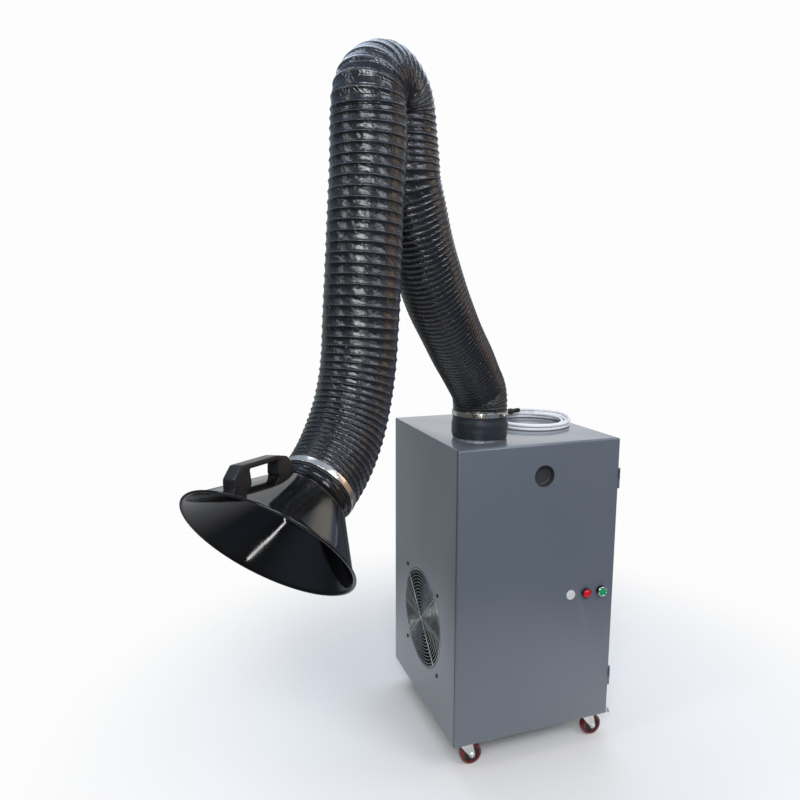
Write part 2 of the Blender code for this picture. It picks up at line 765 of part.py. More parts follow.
def build_rear_panel():
    """The rear panel, folded forward along its sides and top, with the cord's gland hole."""
    side = HALF_WIDTH - SHEET - FIT_GAP
    top = CABINET_HEIGHT - SHEET - FIT_GAP
    shape = bmesh.new()
    line = [(-side, 0.0), (-side, top), (side, top), (side, 0.0)]
    face = [shape.verts.new((x, HALF_DEPTH, z)) for x, z in line]
    fold = [shape.verts.new((x, HALF_DEPTH - REAR_FLANGE, z)) for x, z in line]
    shape.faces.new(face)
    for index in range(3):
        shape.faces.new((face[index], face[index + 1], fold[index + 1], fold[index]))
    rear = from_bmesh("rear_panel", shape, POWDER_COAT)
    outward(rear, (0.0, 1.0, 0.0))
    add_bevel(rear, BEND_RADIUS, 1)
    add_thickness(rear, SHEET)
    # The side folds stop above the base tray's own flange.
    notch_low = (-HALF_WIDTH, HALF_DEPTH - REAR_FLANGE - CUT_OVERRUN, -CUT_OVERRUN)
    notch_high = (HALF_WIDTH, HALF_DEPTH - SHEET - FIT_GAP / 2, BASE_FLANGE + FIT_GAP)
    cut(rear, block("rear_fold_notch_cutter", notch_low, notch_high, POWDER_COAT, CUTTERS))
    hole = rod(
        "gland_hole_cutter", GLAND_STEM_RADIUS + HOLE_EASE,
        (GLAND_X, HALF_DEPTH - CUT_OVERRUN, GLAND_Z), (GLAND_X, HALF_DEPTH + CUT_OVERRUN, GLAND_Z),
        POWDER_COAT, CUTTERS, SMALL_SIDES,
    )
    cut(rear, hole)
    return rear


def build_filter_shelf():
    """The shelf with a square opening that carries the filter cassette."""
    side = HALF_WIDTH - SHEET - FIT_GAP
    front = WRAP_FRONT_Y + SHEET + FIT_GAP
    back = HALF_DEPTH - REAR_FLANGE - FIT_GAP
    corners = (-side, front, SHELF_Z), (side, back, SHELF_Z)
    shelf = tray("filter_shelf", *corners, 2, -1, SHELF_LIP, GALVANISED)
    outward(shelf, Z_AXIS)
    add_bevel(shelf, BEND_RADIUS, 1)
    add_thickness(shelf, SHEET)
    low = (-side + SHELF_MARGIN, front + SHELF_MARGIN, SHELF_Z - CUT_OVERRUN)
    high = (side - SHELF_MARGIN, back - SHELF_MARGIN, SHELF_Z + CUT_OVERRUN)
    cut(shelf, block("shelf_opening_cutter", low, high, GALVANISED, CUTTERS))
    return shelf


def rectangle(half_x, half_y):
    """The corners of a rectangle round its middle."""
    return [(-half_x, -half_y), (half_x, -half_y), (half_x, half_y), (-half_x, half_y)]


def build_filter():
    """The filter cassette: a frame and the pleated paper in it."""
    side = HALF_WIDTH - SHEET - FIT_GAP
    front = WRAP_FRONT_Y + SHEET + FIT_GAP
    back = HALF_DEPTH - REAR_FLANGE - FIT_GAP
    half_x = side - SHELF_MARGIN + FILTER_CLEARANCE
    half_y = (back - front) / 2 - SHELF_MARGIN + FILTER_CLEARANCE
    middle_y = (back + front) / 2
    bottom = SHELF_Z + FIT_GAP
    inner_x = half_x - FILTER_FRAME_WALL
    inner_y = half_y - FILTER_FRAME_WALL
    place = Matrix.Translation((0.0, middle_y, bottom + FILTER_DEPTH / 2))
    frame = flat_plate(
        "filter_frame", [rectangle(half_x, half_y), rectangle(inner_x, inner_y)],
        FILTER_DEPTH, FILTER_ALUMINIUM, place,
    )
    as_mesh(frame)
    width = 2 * (inner_x - FIT_GAP)
    pitch = width / PLEAT_COUNT
    top = FILTER_DEPTH / 2 - PLEAT_INSET
    upper = []
    lower = []
    for index in range(2 * PLEAT_COUNT + 1):
        x = -width / 2 + index * pitch / 2
        rise = top if index % 2 else -top + PLEAT_FOLD
        upper.append((x, rise))
        lower.append((x, rise - PLEAT_FOLD))
    pleats = flat_plate(
        "filter_media", [upper + lower[::-1]], 2 * (inner_y - FIT_GAP), FILTER_PAPER,
        frame_on((0.0, middle_y, bottom + FILTER_DEPTH / 2), -Y_AXIS, X_AXIS),
    )
    as_mesh(pleats)


def build_control_box():
    """The switch box on the inside of the right wall."""
    depth, length, height = CONTROL_BOX_SIZE
    right = HALF_WIDTH - SHEET - FIT_GAP
    low = (right - depth, CONTROL_BOX_Y, CONTROL_BOX_Z)
    high = (right, CONTROL_BOX_Y + length, CONTROL_BOX_Z + height)
    return block("control_box", low, high, BLACK_PLASTIC, edge=CONTROL_BOX_EDGE)


# Front door with its controls

def build_front_door():
    """The door: a sheet folded back round its edges, with its half of the hinges."""
    low = (-HALF_WIDTH, DOOR_FRONT_Y, 0.0)
    high = (HALF_WIDTH, DOOR_FRONT_Y, CABINET_HEIGHT)
    door = tray("front_door", low, high, 1, 1, DOOR_RETURN, POWDER_COAT)
    outward(door, -Y_AXIS)
    add_bevel(door, DOOR_EDGE_RADIUS, 2)
    add_thickness(door, SHEET)
    holes = [("finger_hole", FINGER_HOLE_X, FINGER_HOLE_Z, FINGER_HOLE_RADIUS, FINE_SIDES)]
    for step, name in enumerate(("lamp_hole", "stop_hole", "start_hole")):
        holes.append((name, control_x(step), BUTTON_Z, BUTTON_STEM_RADIUS + HOLE_EASE, SMALL_SIDES))
    for name, x, z, radius, sides in holes:
        start = Vector((x, DOOR_FRONT_Y - CUT_OVERRUN, z))
        end = Vector((x, DOOR_FRONT_Y + CUT_OVERRUN, z))
        cut(door, rod(name + "_cutter", radius, start, end, POWDER_COAT, CUTTERS, sides))
    for height in hinge_heights():
        join(door, hinge_knuckle(f"door_knuckle_{height:.3f}", height, HINGE_KNUCKLE, DOOR_BACK_Y, -1.0))
    return door


def control_x(step):
    """The place of a control along its row, counted from the lamp to the one nearest the hinge."""
    return HALF_WIDTH - CONTROL_EDGE_INSET - (CONTROL_COUNT - 1 - step) * BUTTON_PITCH


def build_door_seal():
    """The foam strip round the inside of the door."""
    inset = SHEET + DOOR_EDGE_RADIUS
    half_x = HALF_WIDTH - inset
    half_z = CABINET_HEIGHT / 2 - inset
    front = DOOR_FRONT_Y + SHEET + FIT_GAP
    back = WRAP_FRONT_Y - FIT_GAP
    seal = flat_plate(
        "door_seal", [rectangle(half_x, half_z), rectangle(half_x - SEAL_WIDTH, half_z - SEAL_WIDTH)],
        back - front, SEAL_FOAM,
        frame_on((0.0, (front + back) / 2, CABINET_HEIGHT / 2), -Y_AXIS, X_AXIS),
    )
    return as_mesh(seal)


def control_place(step):
    """The matrix of a control on the door's face, its z pointing out."""
    return frame_on((control_x(step), DOOR_FRONT_Y, BUTTON_Z), -Y_AXIS, X_AXIS)


def contact_block(name, step):
    """The square block behind the door that a control's stem runs into."""
    half = CONTACT_BLOCK / 2
    top = -SHEET - FIT_GAP
    return block(
        name, (-half, -half, top - CONTACT_DEPTH), (half, half, top), BLACK_PLASTIC, CUTTERS,
        matrix=control_place(step),
    )


def build_lamp():
    """The signal lamp: a flat lens in a low bezel."""
    stem_end = -SHEET - BUTTON_STEM_RADIUS
    profile = [
        (0.0, LAMP_RISE),
        (BEZEL_RADIUS - BEZEL_EDGE, LAMP_RISE),
        (BEZEL_RADIUS, LAMP_RISE - BEZEL_EDGE),
        (BEZEL_RADIUS, FIT_GAP),
        (BUTTON_STEM_RADIUS, FIT_GAP),
        (BUTTON_STEM_RADIUS, stem_end),
        (0.0, stem_end),
    ]
    lamp = turned("power_lamp", profile, WHITE_PLASTIC, control_place(0), closed=False)
    return join(lamp, contact_block("lamp_contact_block", 0))


def build_button(name, step, rise, dome, colour):
    """A push button: a housing with a bezel, and a domed cap that slides in it."""
    bore = CAP_RADIUS + FIT_GAP
    skirt_foot = rise - CAP_SKIRT
    floor = skirt_foot - CAP_TRAVEL - FIT_GAP
    stem_end = floor - BUTTON_STEM_RADIUS
    profile = [
        (0.0, floor),
        (bore, floor),
        (bore, rise),
        (BEZEL_RADIUS - BEZEL_EDGE, rise),
        (BEZEL_RADIUS, rise - BEZEL_EDGE),
        (BEZEL_RADIUS, FIT_GAP),
        (BUTTON_STEM_RADIUS, FIT_GAP),
        (BUTTON_STEM_RADIUS, stem_end),
        (0.0, stem_end),
    ]
    housing = turned(f"{name}_housing", profile, BLACK_PLASTIC, control_place(step), closed=False)
    join(housing, contact_block(f"{name}_contact_block", step))
    cap_profile = [(CAP_RADIUS * out, rise + dome * up) for out, up in CAP_DOME_SHARES]
    cap_profile += [(CAP_RADIUS, skirt_foot), (0.0, skirt_foot)]
    return turned(f"{name}_button", cap_profile, colour, control_place(step), closed=False)


# Fan in the left side; here z runs from the wall into the cabinet

def fan_place(y=FAN_Y, z=FAN_Z):
    """A matrix on the outside of the left wall, its z pointing into the cabinet."""
    return frame_on((FAN_PLANE_X, y, z), X_AXIS, Y_AXIS)


def build_fan_shroud():
    """The duct round the impeller, with the flange that is screwed behind the wall."""
    face = SHEET + FIT_GAP
    back = face + FAN_FLANGE_SHEET
    profile = [
        (DUCT_RADIUS + DUCT_WALL, face + DUCT_DEPTH),
        (DUCT_RADIUS + DUCT_WALL, back),
        (FAN_FLANGE_RADIUS, back),
        (FAN_FLANGE_RADIUS, face),
        (DUCT_RADIUS, face),
        (DUCT_RADIUS, face + DUCT_DEPTH),
    ]
    shroud = turned("fan_shroud", profile, BLACK_PAINT, fan_place(), FINE_SIDES)
    for index, (y, z) in enumerate(fan_screw_places()):
        hole = rod(
            f"shroud_screw_hole_{index + 1}_cutter", SCREW_HOLE_RADIUS,
            (FAN_PLANE_X, y, z), (FAN_PLANE_X + SCREW_LENGTH, y, z), BLACK_PAINT, CUTTERS, TINY_SIDES,
        )
        cut(shroud, hole)
    return shroud


def build_fan_motor():
    """The motor: a round body on a cross that bears on the back rim of the duct."""
    rear = SHEET + FIT_GAP + DUCT_DEPTH + FIT_GAP
    body_front = IMPELLER_SETBACK + IMPELLER_HUB_LENGTH + SHEET
    shaft_front = IMPELLER_SETBACK + IMPELLER_HUB_LENGTH / 3
    profile = [
        (0.0, rear + MOTOR_ARM_SHEET + SHEET),
        (MOTOR_BASE_RADIUS, rear + MOTOR_ARM_SHEET + SHEET),
        (MOTOR_BASE_RADIUS, body_front),
        (MOTOR_SHAFT_RADIUS, body_front),
        (MOTOR_SHAFT_RADIUS, shaft_front),
        (0.0, shaft_front),
    ]
    motor = turned("fan_motor", profile, BLACK_PAINT, fan_place(), closed=False)
    reach = DUCT_RADIUS + 2 * DUCT_WALL
    half = MOTOR_ARM_WIDTH / 2
    for index, (half_x, half_y) in enumerate(((reach, half), (half, reach))):
        step = index * FIT_GAP
        low = (-half_x, -half_y, rear)
        high = (half_x, half_y, rear + MOTOR_ARM_SHEET - step)
        join(motor, block(f"motor_arm_{index + 1}", low, high, BLACK_PAINT, CUTTERS, matrix=fan_place()))
    return motor


def build_fan_impeller():
    """The hub with its twisted blades."""
    front = IMPELLER_SETBACK
    back = front + IMPELLER_HUB_LENGTH
    profile = [
        (0.0, back),
        (IMPELLER_HUB_RADIUS, back),
        (IMPELLER_HUB_RADIUS, front + BEZEL_RIM),
        (IMPELLER_HUB_RADIUS - BEZEL_RIM, front),
        (0.0, front),
    ]
    impeller = turned("fan_impeller", profile, BLACK_PLASTIC, fan_place(), closed=False)
    shape = bmesh.new()
    middle = (front + back) / 2
    root = IMPELLER_HUB_RADIUS - BLADE_SHEET
    tip = DUCT_RADIUS - IMPELLER_TIP_GAP
    root_chord = BLADE_ROOT_CHORD_SHARE * 2 * math.pi * IMPELLER_HUB_RADIUS / BLADE_COUNT
    for blade in range(BLADE_COUNT):
        grid = []
        for row in range(BLADE_ROWS):
            share = row / (BLADE_ROWS - 1)
            radius = root + (tip - root) * share
            chord = root_chord + (BLADE_TIP_CHORD - root_chord) * share
            pitch = math.radians(BLADE_ROOT_PITCH + (BLADE_TIP_PITCH - BLADE_ROOT_PITCH) * share)
            lead = 2 * math.pi * blade / BLADE_COUNT + math.radians(BLADE_SWEEP) * share
            line = []
            for column in range(BLADE_COLUMNS):
                along = (column / (BLADE_COLUMNS - 1) - 0.5) * chord
                angle = lead + along * math.cos(pitch) / radius
                height = middle + along * math.sin(pitch)
                line.append(shape.verts.new((radius * math.cos(angle), radius * math.sin(angle), height)))
            grid.append(line)
        for near, far in zip(grid, grid[1:]):
            for column in range(BLADE_COLUMNS - 1):
                shape.faces.new((near[column], near[column + 1], far[column + 1], far[column]))
    blades = from_bmesh("fan_blades", shape, BLACK_PLASTIC, CUTTERS, fan_place())
    add_thickness(blades, BLADE_SHEET, 0.0)
    join(impeller, blades)
    shaft_front = front + IMPELLER_HUB_LENGTH / 3 - FIT_GAP
    bore = rod(
        "impeller_bore_cutter", MOTOR_SHAFT_RADIUS + FIT_GAP,
        (FAN_PLANE_X + shaft_front, FAN_Y, FAN_Z), (FAN_PLANE_X + back + CUT_OVERRUN, FAN_Y, FAN_Z),
        BLACK_PLASTIC, CUTTERS, ROUND_SIDES,
    )
    cut(impeller, bore)
    return impeller


def build_fan_guard():
    """The wire guard: rings on straight spokes, lying against the duct's flange."""
    half = GUARD_WIRE / 2
    level = SHEET - half
    outer = FAN_OPENING_RADIUS - GUARD_WIRE - half
    shape = bmesh.new()
    for ring in range(GUARD_RING_COUNT):
        radius = GUARD_INNER_RADIUS + (outer - GUARD_INNER_RADIUS) * ring / (GUARD_RING_COUNT - 1)
        section = [(radius, level + half), (radius + half, level - half), (radius - half, level - half)]
        corners = [shape.verts.new((x, 0.0, z)) for x, z in section]
        for index, corner in enumerate(corners):
            shape.edges.new((corner, corners[(index + 1) % len(corners)]))
    data = bpy.data.meshes.new("fan_guard")
    shape.to_mesh(data)
    shape.free()
    phase = Matrix.Rotation(math.radians(GUARD_PHASE), 4, "Z")
    guard = mesh_object("fan_guard", data, ZINC, matrix=fan_place() @ phase)
    spin = guard.modifiers.new("spin", "SCREW")
    spin.steps = GUARD_SIDES
    spin.render_steps = GUARD_SIDES
    spin.use_merge_vertices = True
    spin.merge_threshold = MERGE_DISTANCE
    for index, angle in enumerate(GUARD_SPOKE_ANGLES):
        turn = fan_place() @ Matrix.Rotation(math.radians(angle), 4, "Z")
        lift = level - half - (index + 1) * GUARD_SPOKE_STEP
        low = (-outer, -half, lift)
        high = (outer, half, lift + GUARD_WIRE)
        join(guard, block(f"guard_spoke_{index + 1}", low, high, ZINC, CUTTERS, matrix=turn))
    return guard


def build_fan_screws():
    """Four round-headed screws that hold the fan to the wall."""
    for index, (y, z) in enumerate(fan_screw_places()):
        profile = [(0.0, SCREW_HEAD_HEIGHT)]
        profile += [(SCREW_HEAD_RADIUS * out, SCREW_HEAD_HEIGHT * up) for out, up in SCREW_DOME_SHARES]
        profile += [
            (SCREW_HEAD_RADIUS, FIT_GAP),
            (SCREW_SHANK_RADIUS, FIT_GAP),
            (SCREW_SHANK_RADIUS, -SCREW_LENGTH),
            (0.0, -SCREW_LENGTH),
        ]
        turned(
            f"fan_screw_{index + 1}", profile, BLACK_PAINT, frame_on((FAN_PLANE_X, y, z), -X_AXIS, Y_AXIS),
            SCREW_SIDES, closed=False,
        )


# Casters

def caster_places():
    """Each caster's name and swivel centre under the cabinet."""
    reach_x = HALF_WIDTH - CASTER_INSET_X
    reach_y = HALF_DEPTH - CASTER_INSET_Y
    return [
        ("front_left", Vector((-reach_x, -reach_y, 0.0)), True),
        ("front_right", Vector((reach_x, -reach_y, 0.0)), True),
        ("rear_left", Vector((-reach_x, reach_y, 0.0)), False),
        ("rear_right", Vector((reach_x, reach_y, 0.0)), False),
    ]


def build_caster(corner, centre, with_brake):
    """One caster, trailing towards +X: mounting plate, fork, wheel, tread and brake pedal."""
    plate_foot = -FIT_GAP - PLATE_SHEET
    race_foot = plate_foot - RACE_HEIGHT
    fork_top = race_foot - FIT_GAP
    fork_foot = fork_top - FORK_SHEET
    head_top = fork_foot - FIT_GAP
    profile = [
        (0.0, plate_foot + PLATE_SHEET / 2),
        (RACE_RADIUS, plate_foot + PLATE_SHEET / 2),
        (RACE_RADIUS, race_foot),
        (KING_PIN_RADIUS, race_foot),
        (KING_PIN_RADIUS, head_top),
        (KING_HEAD_RADIUS, head_top),
        (KING_HEAD_RADIUS, head_top - KING_HEAD_HEIGHT),
        (0.0, head_top - KING_HEAD_HEIGHT),
    ]
    under = Matrix.Translation(centre)
    race = turned(f"caster_race_{corner}", profile, ZINC, under, RACE_SIDES, CUTTERS, closed=False)
    half_x, half_y = PLATE_SIZE[0] / 2, PLATE_SIZE[1] / 2
    low = (-half_x, -half_y, plate_foot)
    high = (half_x, half_y, -FIT_GAP)
    plate = block(f"caster_plate_{corner}", low, high, ZINC, matrix=under)
    join(plate, race)

    swivel = pivot_empty(f"swivel_axis_{corner}", under)
    inner = WHEEL_WIDTH / 2 + FORK_SIDE_GAP
    outer = inner + FORK_SHEET
    axle = centre + X_AXIS * WHEEL_TRAIL - Z_AXIS * (CASTER_HEIGHT - WHEEL_RADIUS)
    low = (-FORK_TOP_HALF, -outer, fork_foot)
    high = (FORK_TOP_HALF - BOLT_HEAD_RADIUS, outer, fork_top)
    fork = block(f"caster_fork_{corner}", low, high, ZINC, matrix=under)
    hole = rod(
        f"fork_hole_{corner}_cutter", KING_PIN_RADIUS + FIT_GAP,
        centre + Z_AXIS * (fork_foot - CUT_OVERRUN), centre + Z_AXIS * (fork_top + FIT_GAP / 2),
        ZINC, CUTTERS,
    )
    cut(fork, hole)
    foot = circle_points(
        FORK_FOOT_RADIUS, FORK_FOOT_POINTS, (axle.x - centre.x, axle.z),
        math.radians(FORK_FOOT_START), math.radians(FORK_FOOT_SWEEP),
    )
    outline = [
        (PEDAL_PIVOT_X + PEDAL_BOSS_RADIUS, fork_top - FIT_GAP),
        (-FORK_TOP_HALF, fork_top - FIT_GAP),
        (-FORK_TOP_HALF, fork_foot - FORK_SHEET),
    ]
    for side in (-1, 1):
        place = centre + Y_AXIS * side * (inner + outer) / 2
        cheek = flat_plate(
            f"fork_cheek_{corner}_{side}", [outline + foot], FORK_SHEET - FIT_GAP, ZINC,
            frame_on(place, -Y_AXIS, X_AXIS), CUTTERS,
        )
        join(fork, as_mesh(cheek))
        head = rod(
            f"axle_head_{corner}_{side}", BOLT_HEAD_RADIUS,
            axle + Y_AXIS * side * (outer - FIT_GAP), axle + Y_AXIS * side * (outer + BOLT_HEAD_HEIGHT),
            ZINC, CUTTERS, TINY_SIDES,
        )
        join(fork, head)
    axle_rod = rod(
        f"axle_{corner}", AXLE_RADIUS, axle - Y_AXIS * (outer - FIT_GAP), axle + Y_AXIS * (outer - FIT_GAP),
        ZINC, CUTTERS, TINY_SIDES,
    )
    join(fork, axle_rod)

    axle_place = frame_on(axle, Y_AXIS, X_AXIS)
    spin = pivot_empty(f"wheel_axis_{corner}", axle_place)
    half = WHEEL_WIDTH / 2
    core_radius = WHEEL_RADIUS - TREAD_THICKNESS - FIT_GAP
    rim = half - CORE_DISH
    core_profile = [
        (core_radius, rim), (core_radius, -rim), (HUB_RADIUS, -half),
        (AXLE_RADIUS + FIT_GAP, -half), (AXLE_RADIUS + FIT_GAP, half), (HUB_RADIUS, half),
    ]
    core = turned(f"wheel_core_{corner}", core_profile, CORE_PLASTIC, axle_place, WHEEL_SIDES)
    bore = WHEEL_RADIUS - TREAD_THICKNESS
    crown = WHEEL_RADIUS - TREAD_CROWN
    tread_profile = [
        (WHEEL_RADIUS, half - 2 * TREAD_CROWN), (WHEEL_RADIUS, -half + 2 * TREAD_CROWN),
        (crown, -half), (bore, -half), (bore, half), (crown, half),
    ]
    tread = turned(f"wheel_tread_{corner}", tread_profile, RED_TREAD, axle_place, WHEEL_SIDES)

    hang_on(swivel, fork, spin)
    hang_on(spin, core, tread)
    if with_brake:
        pivot = centre + Vector((PEDAL_PIVOT_X, 0.0, PEDAL_PIVOT_Z))
        reach = Y_AXIS * (outer - FIT_GAP)
        pin_name = f"pedal_pin_{corner}"
        join(fork, rod(pin_name, PEDAL_PIN_RADIUS, pivot - reach, pivot + reach, ZINC, CUTTERS, TINY_SIDES))
        hang_on(swivel, build_pedal(corner, pivot))


def build_pedal(corner, pivot):
    """The brake pedal: a boss on its pin and a stepped tread plate."""
    half = PEDAL_WIDTH / 2
    place = frame_on(pivot, -Y_AXIS, X_AXIS)
    pedal = rod(
        f"brake_pedal_{corner}", PEDAL_BOSS_RADIUS, pivot - Y_AXIS * half, pivot + Y_AXIS * half, ZINC,
        sides=SMALL_SIDES,
    )
    outline = [(PEDAL_LENGTH * along, PEDAL_RISE * up) for along, up in PEDAL_LINE_SHARES]
    outline += [
        (PEDAL_LENGTH * along, PEDAL_RISE * up - PEDAL_SHEET) for along, up in reversed(PEDAL_LINE_SHARES)
    ]
    plate = flat_plate(f"pedal_plate_{corner}", [outline], PEDAL_WIDTH - 2 * FIT_GAP, ZINC, place, CUTTERS)
    join(pedal, as_mesh(plate))
    reach = Y_AXIS * (half + CUT_OVERRUN)
    bore = rod(
        f"pedal_bore_{corner}_cutter", PEDAL_PIN_RADIUS + FIT_GAP, pivot - reach, pivot + reach,
        ZINC, CUTTERS, TINY_SIDES,
    )
    cut(pedal, bore)
    return pedal


# The hose's line

def arm_point(reach, height, across=0.0):
    """A point of the arm's plane in the world."""
    return INLET + ARM_DIRECTION * reach + ARM_NORMAL * across + Z_AXIS * (CABINET_HEIGHT + height)


def heading_vector(heading):
    """The direction in the arm's plane that points at an angle above the horizontal."""
    return ARM_DIRECTION * math.cos(heading) + Z_AXIS * math.sin(heading)


def hose_line(distance):
    """The point and the heading of the hose's line, a distance along from the cuff."""
    reach = 0.0
    height = HOSE_START
    heading = math.radians(HOSE_FIRST_HEADING)
    left = distance
    last = len(HOSE_RUN_LENGTHS) - 1
    for index, (length, end_degrees) in enumerate(zip(HOSE_RUN_LENGTHS, HOSE_RUN_HEADINGS)):
        end_heading = math.radians(end_degrees)
        turn = (end_heading - heading) / length
        step = left if left < length else length
        if abs(turn) < MERGE_DISTANCE or step < 0:
            reach += step * math.cos(heading)
            height += step * math.sin(heading)
        else:
            after = heading + turn * step
            reach += (math.sin(after) - math.sin(heading)) / turn
            height += (math.cos(heading) - math.cos(after)) / turn
            heading = after
        left -= step
        if left <= 0:
            break
        if index == last:
            reach += left * math.cos(heading)
            height += left * math.sin(heading)
    return arm_point(reach, height), heading


def hose_pinch(distance):
    """How much narrower the hose is where it folds over at the elbow."""
    beyond = max(abs(distance - ELBOW_DISTANCE) - FOLD_HALF - FOLD_HOLD, 0.0)
    return HOSE_FOLD_PINCH * (1 + math.cos(math.pi * min(beyond / FOLD_EASE, 1.0))) / 2


def build_hose_section(name, start, end, pitch):
    """One length of ribbed hose with its bore."""
    count = round((end - start) / pitch)
    rib = (end - start) / count
    groove = HOSE_RIDGE_RADIUS - HOSE_GROOVE_DEPTH
    stations = [(start, groove), (start + END_LAND, groove)]
    for index in range(count):
        stations.append((start + (index + 0.5) * rib, HOSE_RIDGE_RADIUS))
        if index < count - 1:
            stations.append((start + (index + 1) * rib, groove))
    stations += [(end - END_LAND, groove), (end, groove)]
    points = [hose_line(distance)[0] for distance, _ in stations]
    radii = [(radius - hose_pinch(distance)) / HOSE_RIDGE_RADIUS for distance, radius in stations]
    hose = as_mesh(tube(name, points, HOSE_RIDGE_RADIUS, HOSE_FABRIC, radii, HOSE_SIDES_RESOLUTION))

    steps = max(2, round((end - start) / BORE_STEP))
    marks = [start - CUT_OVERRUN] + [start + (end - start) * step / steps for step in range(steps + 1)]
    marks.append(end + CUT_OVERRUN)
    bore_points = [hose_line(distance)[0] for distance in marks]
    bore_radii = [(HOSE_BORE_RADIUS - hose_pinch(distance)) / HOSE_BORE_RADIUS for distance in marks]
    bore = tube(
        name + "_bore_cutter", bore_points, HOSE_BORE_RADIUS, HOSE_FABRIC, bore_radii,
        HOSE_SIDES_RESOLUTION, CUTTERS,
    )
    cut(hose, as_mesh(bore))
    return hose


def build_hose():
    """All the hose's sections, end to end."""
    sections = {}
    start = 0.0
    for name, share, pitch in zip(HOSE_SECTION_NAMES, HOSE_SECTION_END_SHARES, HOSE_RIB_PITCHES):
        end = HOSE_LENGTH * share
        sections[name] = build_hose_section(name, start + FIT_GAP / 2, end - FIT_GAP / 2, pitch)
        start = end
    return sections


# Inlet and the arm's turning base

def build_inlet_spigot():
    """The tube that stands in the cabinet's top, with a flange under the sheet."""
    flange_top = CABINET_HEIGHT - SHEET - FIT_GAP
    flange_foot = flange_top - SPIGOT_WALL
    foot = CABINET_HEIGHT - SPIGOT_DROP
    bore = SPIGOT_RADIUS - SPIGOT_WALL
    profile = [
        (SPIGOT_RADIUS, SPIGOT_TOP),
        (SPIGOT_RADIUS, flange_top),
        (SPIGOT_RADIUS + SPIGOT_FLANGE, flange_top),
        (SPIGOT_RADIUS + SPIGOT_FLANGE, flange_foot),
        (SPIGOT_RADIUS, flange_foot),
        (SPIGOT_RADIUS, foot),
        (bore, foot),
        (bore, SPIGOT_TOP),
    ]
    return turned("inlet_spigot", profile, GALVANISED, Matrix.Translation(INLET))


def ear_pair(owner, name, pivot, base, finish):
    """Two ears from a base to a pivot, with the pin between them, joined to their owner."""
    to_base = base - pivot
    offset = EYE_WIDTH / 2 + PIVOT_CLEARANCE + EAR_SHEET / 2
    rounding = circle_points(EAR_RADIUS, EAR_POINTS, (0.0, 0.0), math.pi / 2, math.pi)
    outline = rounding + [(to_base.length, -EAR_RADIUS), (to_base.length, EAR_RADIUS)]
    for side in (-1, 1):
        place = frame_on(pivot + ARM_NORMAL * side * offset, ARM_NORMAL, to_base)
        ear = flat_plate(f"{name}_ear_{side}", [outline], EAR_SHEET, finish, place, CUTTERS)
        join(owner, as_mesh(ear))
    half = EYE_WIDTH / 2 + PIVOT_CLEARANCE + EAR_SHEET + EAR_SHEET / 4
    reach = ARM_NORMAL * half
    join(owner, rod(f"{name}_pin", PIVOT_PIN_RADIUS, pivot - reach, pivot + reach, finish, CUTTERS))


def fork_base(owner, name, centre, direction, finish):
    """The block that ties a pair of ears to the end of a bar."""
    half = EYE_WIDTH / 2 + PIVOT_CLEARANCE + EAR_SHEET - FIT_GAP
    depth = FORK_BASE / 2
    tie = block(
        f"{name}_base", (-EAR_RADIUS + FIT_GAP, -half, -depth), (EAR_RADIUS - FIT_GAP, half, depth), finish,
        CUTTERS, matrix=frame_on(centre, direction, direction.cross(ARM_NORMAL)),
    )
    join(owner, tie)


def eye(owner, name, pivot, finish):
    """A round eye on the end of a bar, bored for the pivot pin."""
    reach = ARM_NORMAL * (EYE_WIDTH / 2)
    join(owner, rod(f"{name}_eye", EYE_RADIUS, pivot - reach, pivot + reach, finish, CUTTERS))


def eye_bore(owner, name, pivot):
    """The hole through an eye."""
    reach = ARM_NORMAL * (EYE_WIDTH / 2 + CUT_OVERRUN)
    bore = PIVOT_PIN_RADIUS + PIVOT_CLEARANCE
    cut(owner, rod(f"{name}_bore_cutter", bore, pivot - reach, pivot + reach, ZINC, CUTTERS))


def bar_along_hose(name, start, end, finish):
    """A round bar that follows the hose's line."""
    steps = round((end - start) / LINK_STEP)
    points = [hose_line(start + (end - start) * step / steps)[0] for step in range(steps + 1)]
    return as_mesh(tube(name, points, LINK_RADIUS, finish, resolution=1))


def build_turntable():
    """The ring that turns on the inlet and carries the arm's first pivot."""
    foot = SPIGOT_TOP + FIT_GAP
    skirt = SPIGOT_RADIUS - SPIGOT_WALL - TURNTABLE_CLEARANCE
    bore = skirt - SPIGOT_WALL
    profile = [
        (SPIGOT_RADIUS, TURNTABLE_TOP),
        (SPIGOT_RADIUS, foot),
        (skirt, foot),
        (skirt, foot - CLAMP_WIDTH),
        (bore, foot - CLAMP_WIDTH),
        (bore, TURNTABLE_TOP),
    ]
    turntable = turned("arm_turntable", profile, ZINC, Matrix.Translation(INLET))
    half = CROSSBAR_WIDTH / 2
    reach = bore + SPIGOT_WALL
    top = TURNTABLE_TOP - CROSSBAR_SHEET
    crossbar = block(
        "turntable_crossbar", (-half, -reach, top - CROSSBAR_SHEET), (half, reach, top),
        ZINC, CUTTERS, matrix=frame_on(INLET, Z_AXIS, ARM_DIRECTION),
    )
    join(turntable, crossbar)
    pivot = hose_line(SHOULDER_DISTANCE)[0]
    base = Vector((pivot.x, pivot.y, top - CROSSBAR_SHEET / 2))
    ear_pair(turntable, "shoulder", pivot, base, ZINC)
    return turntable


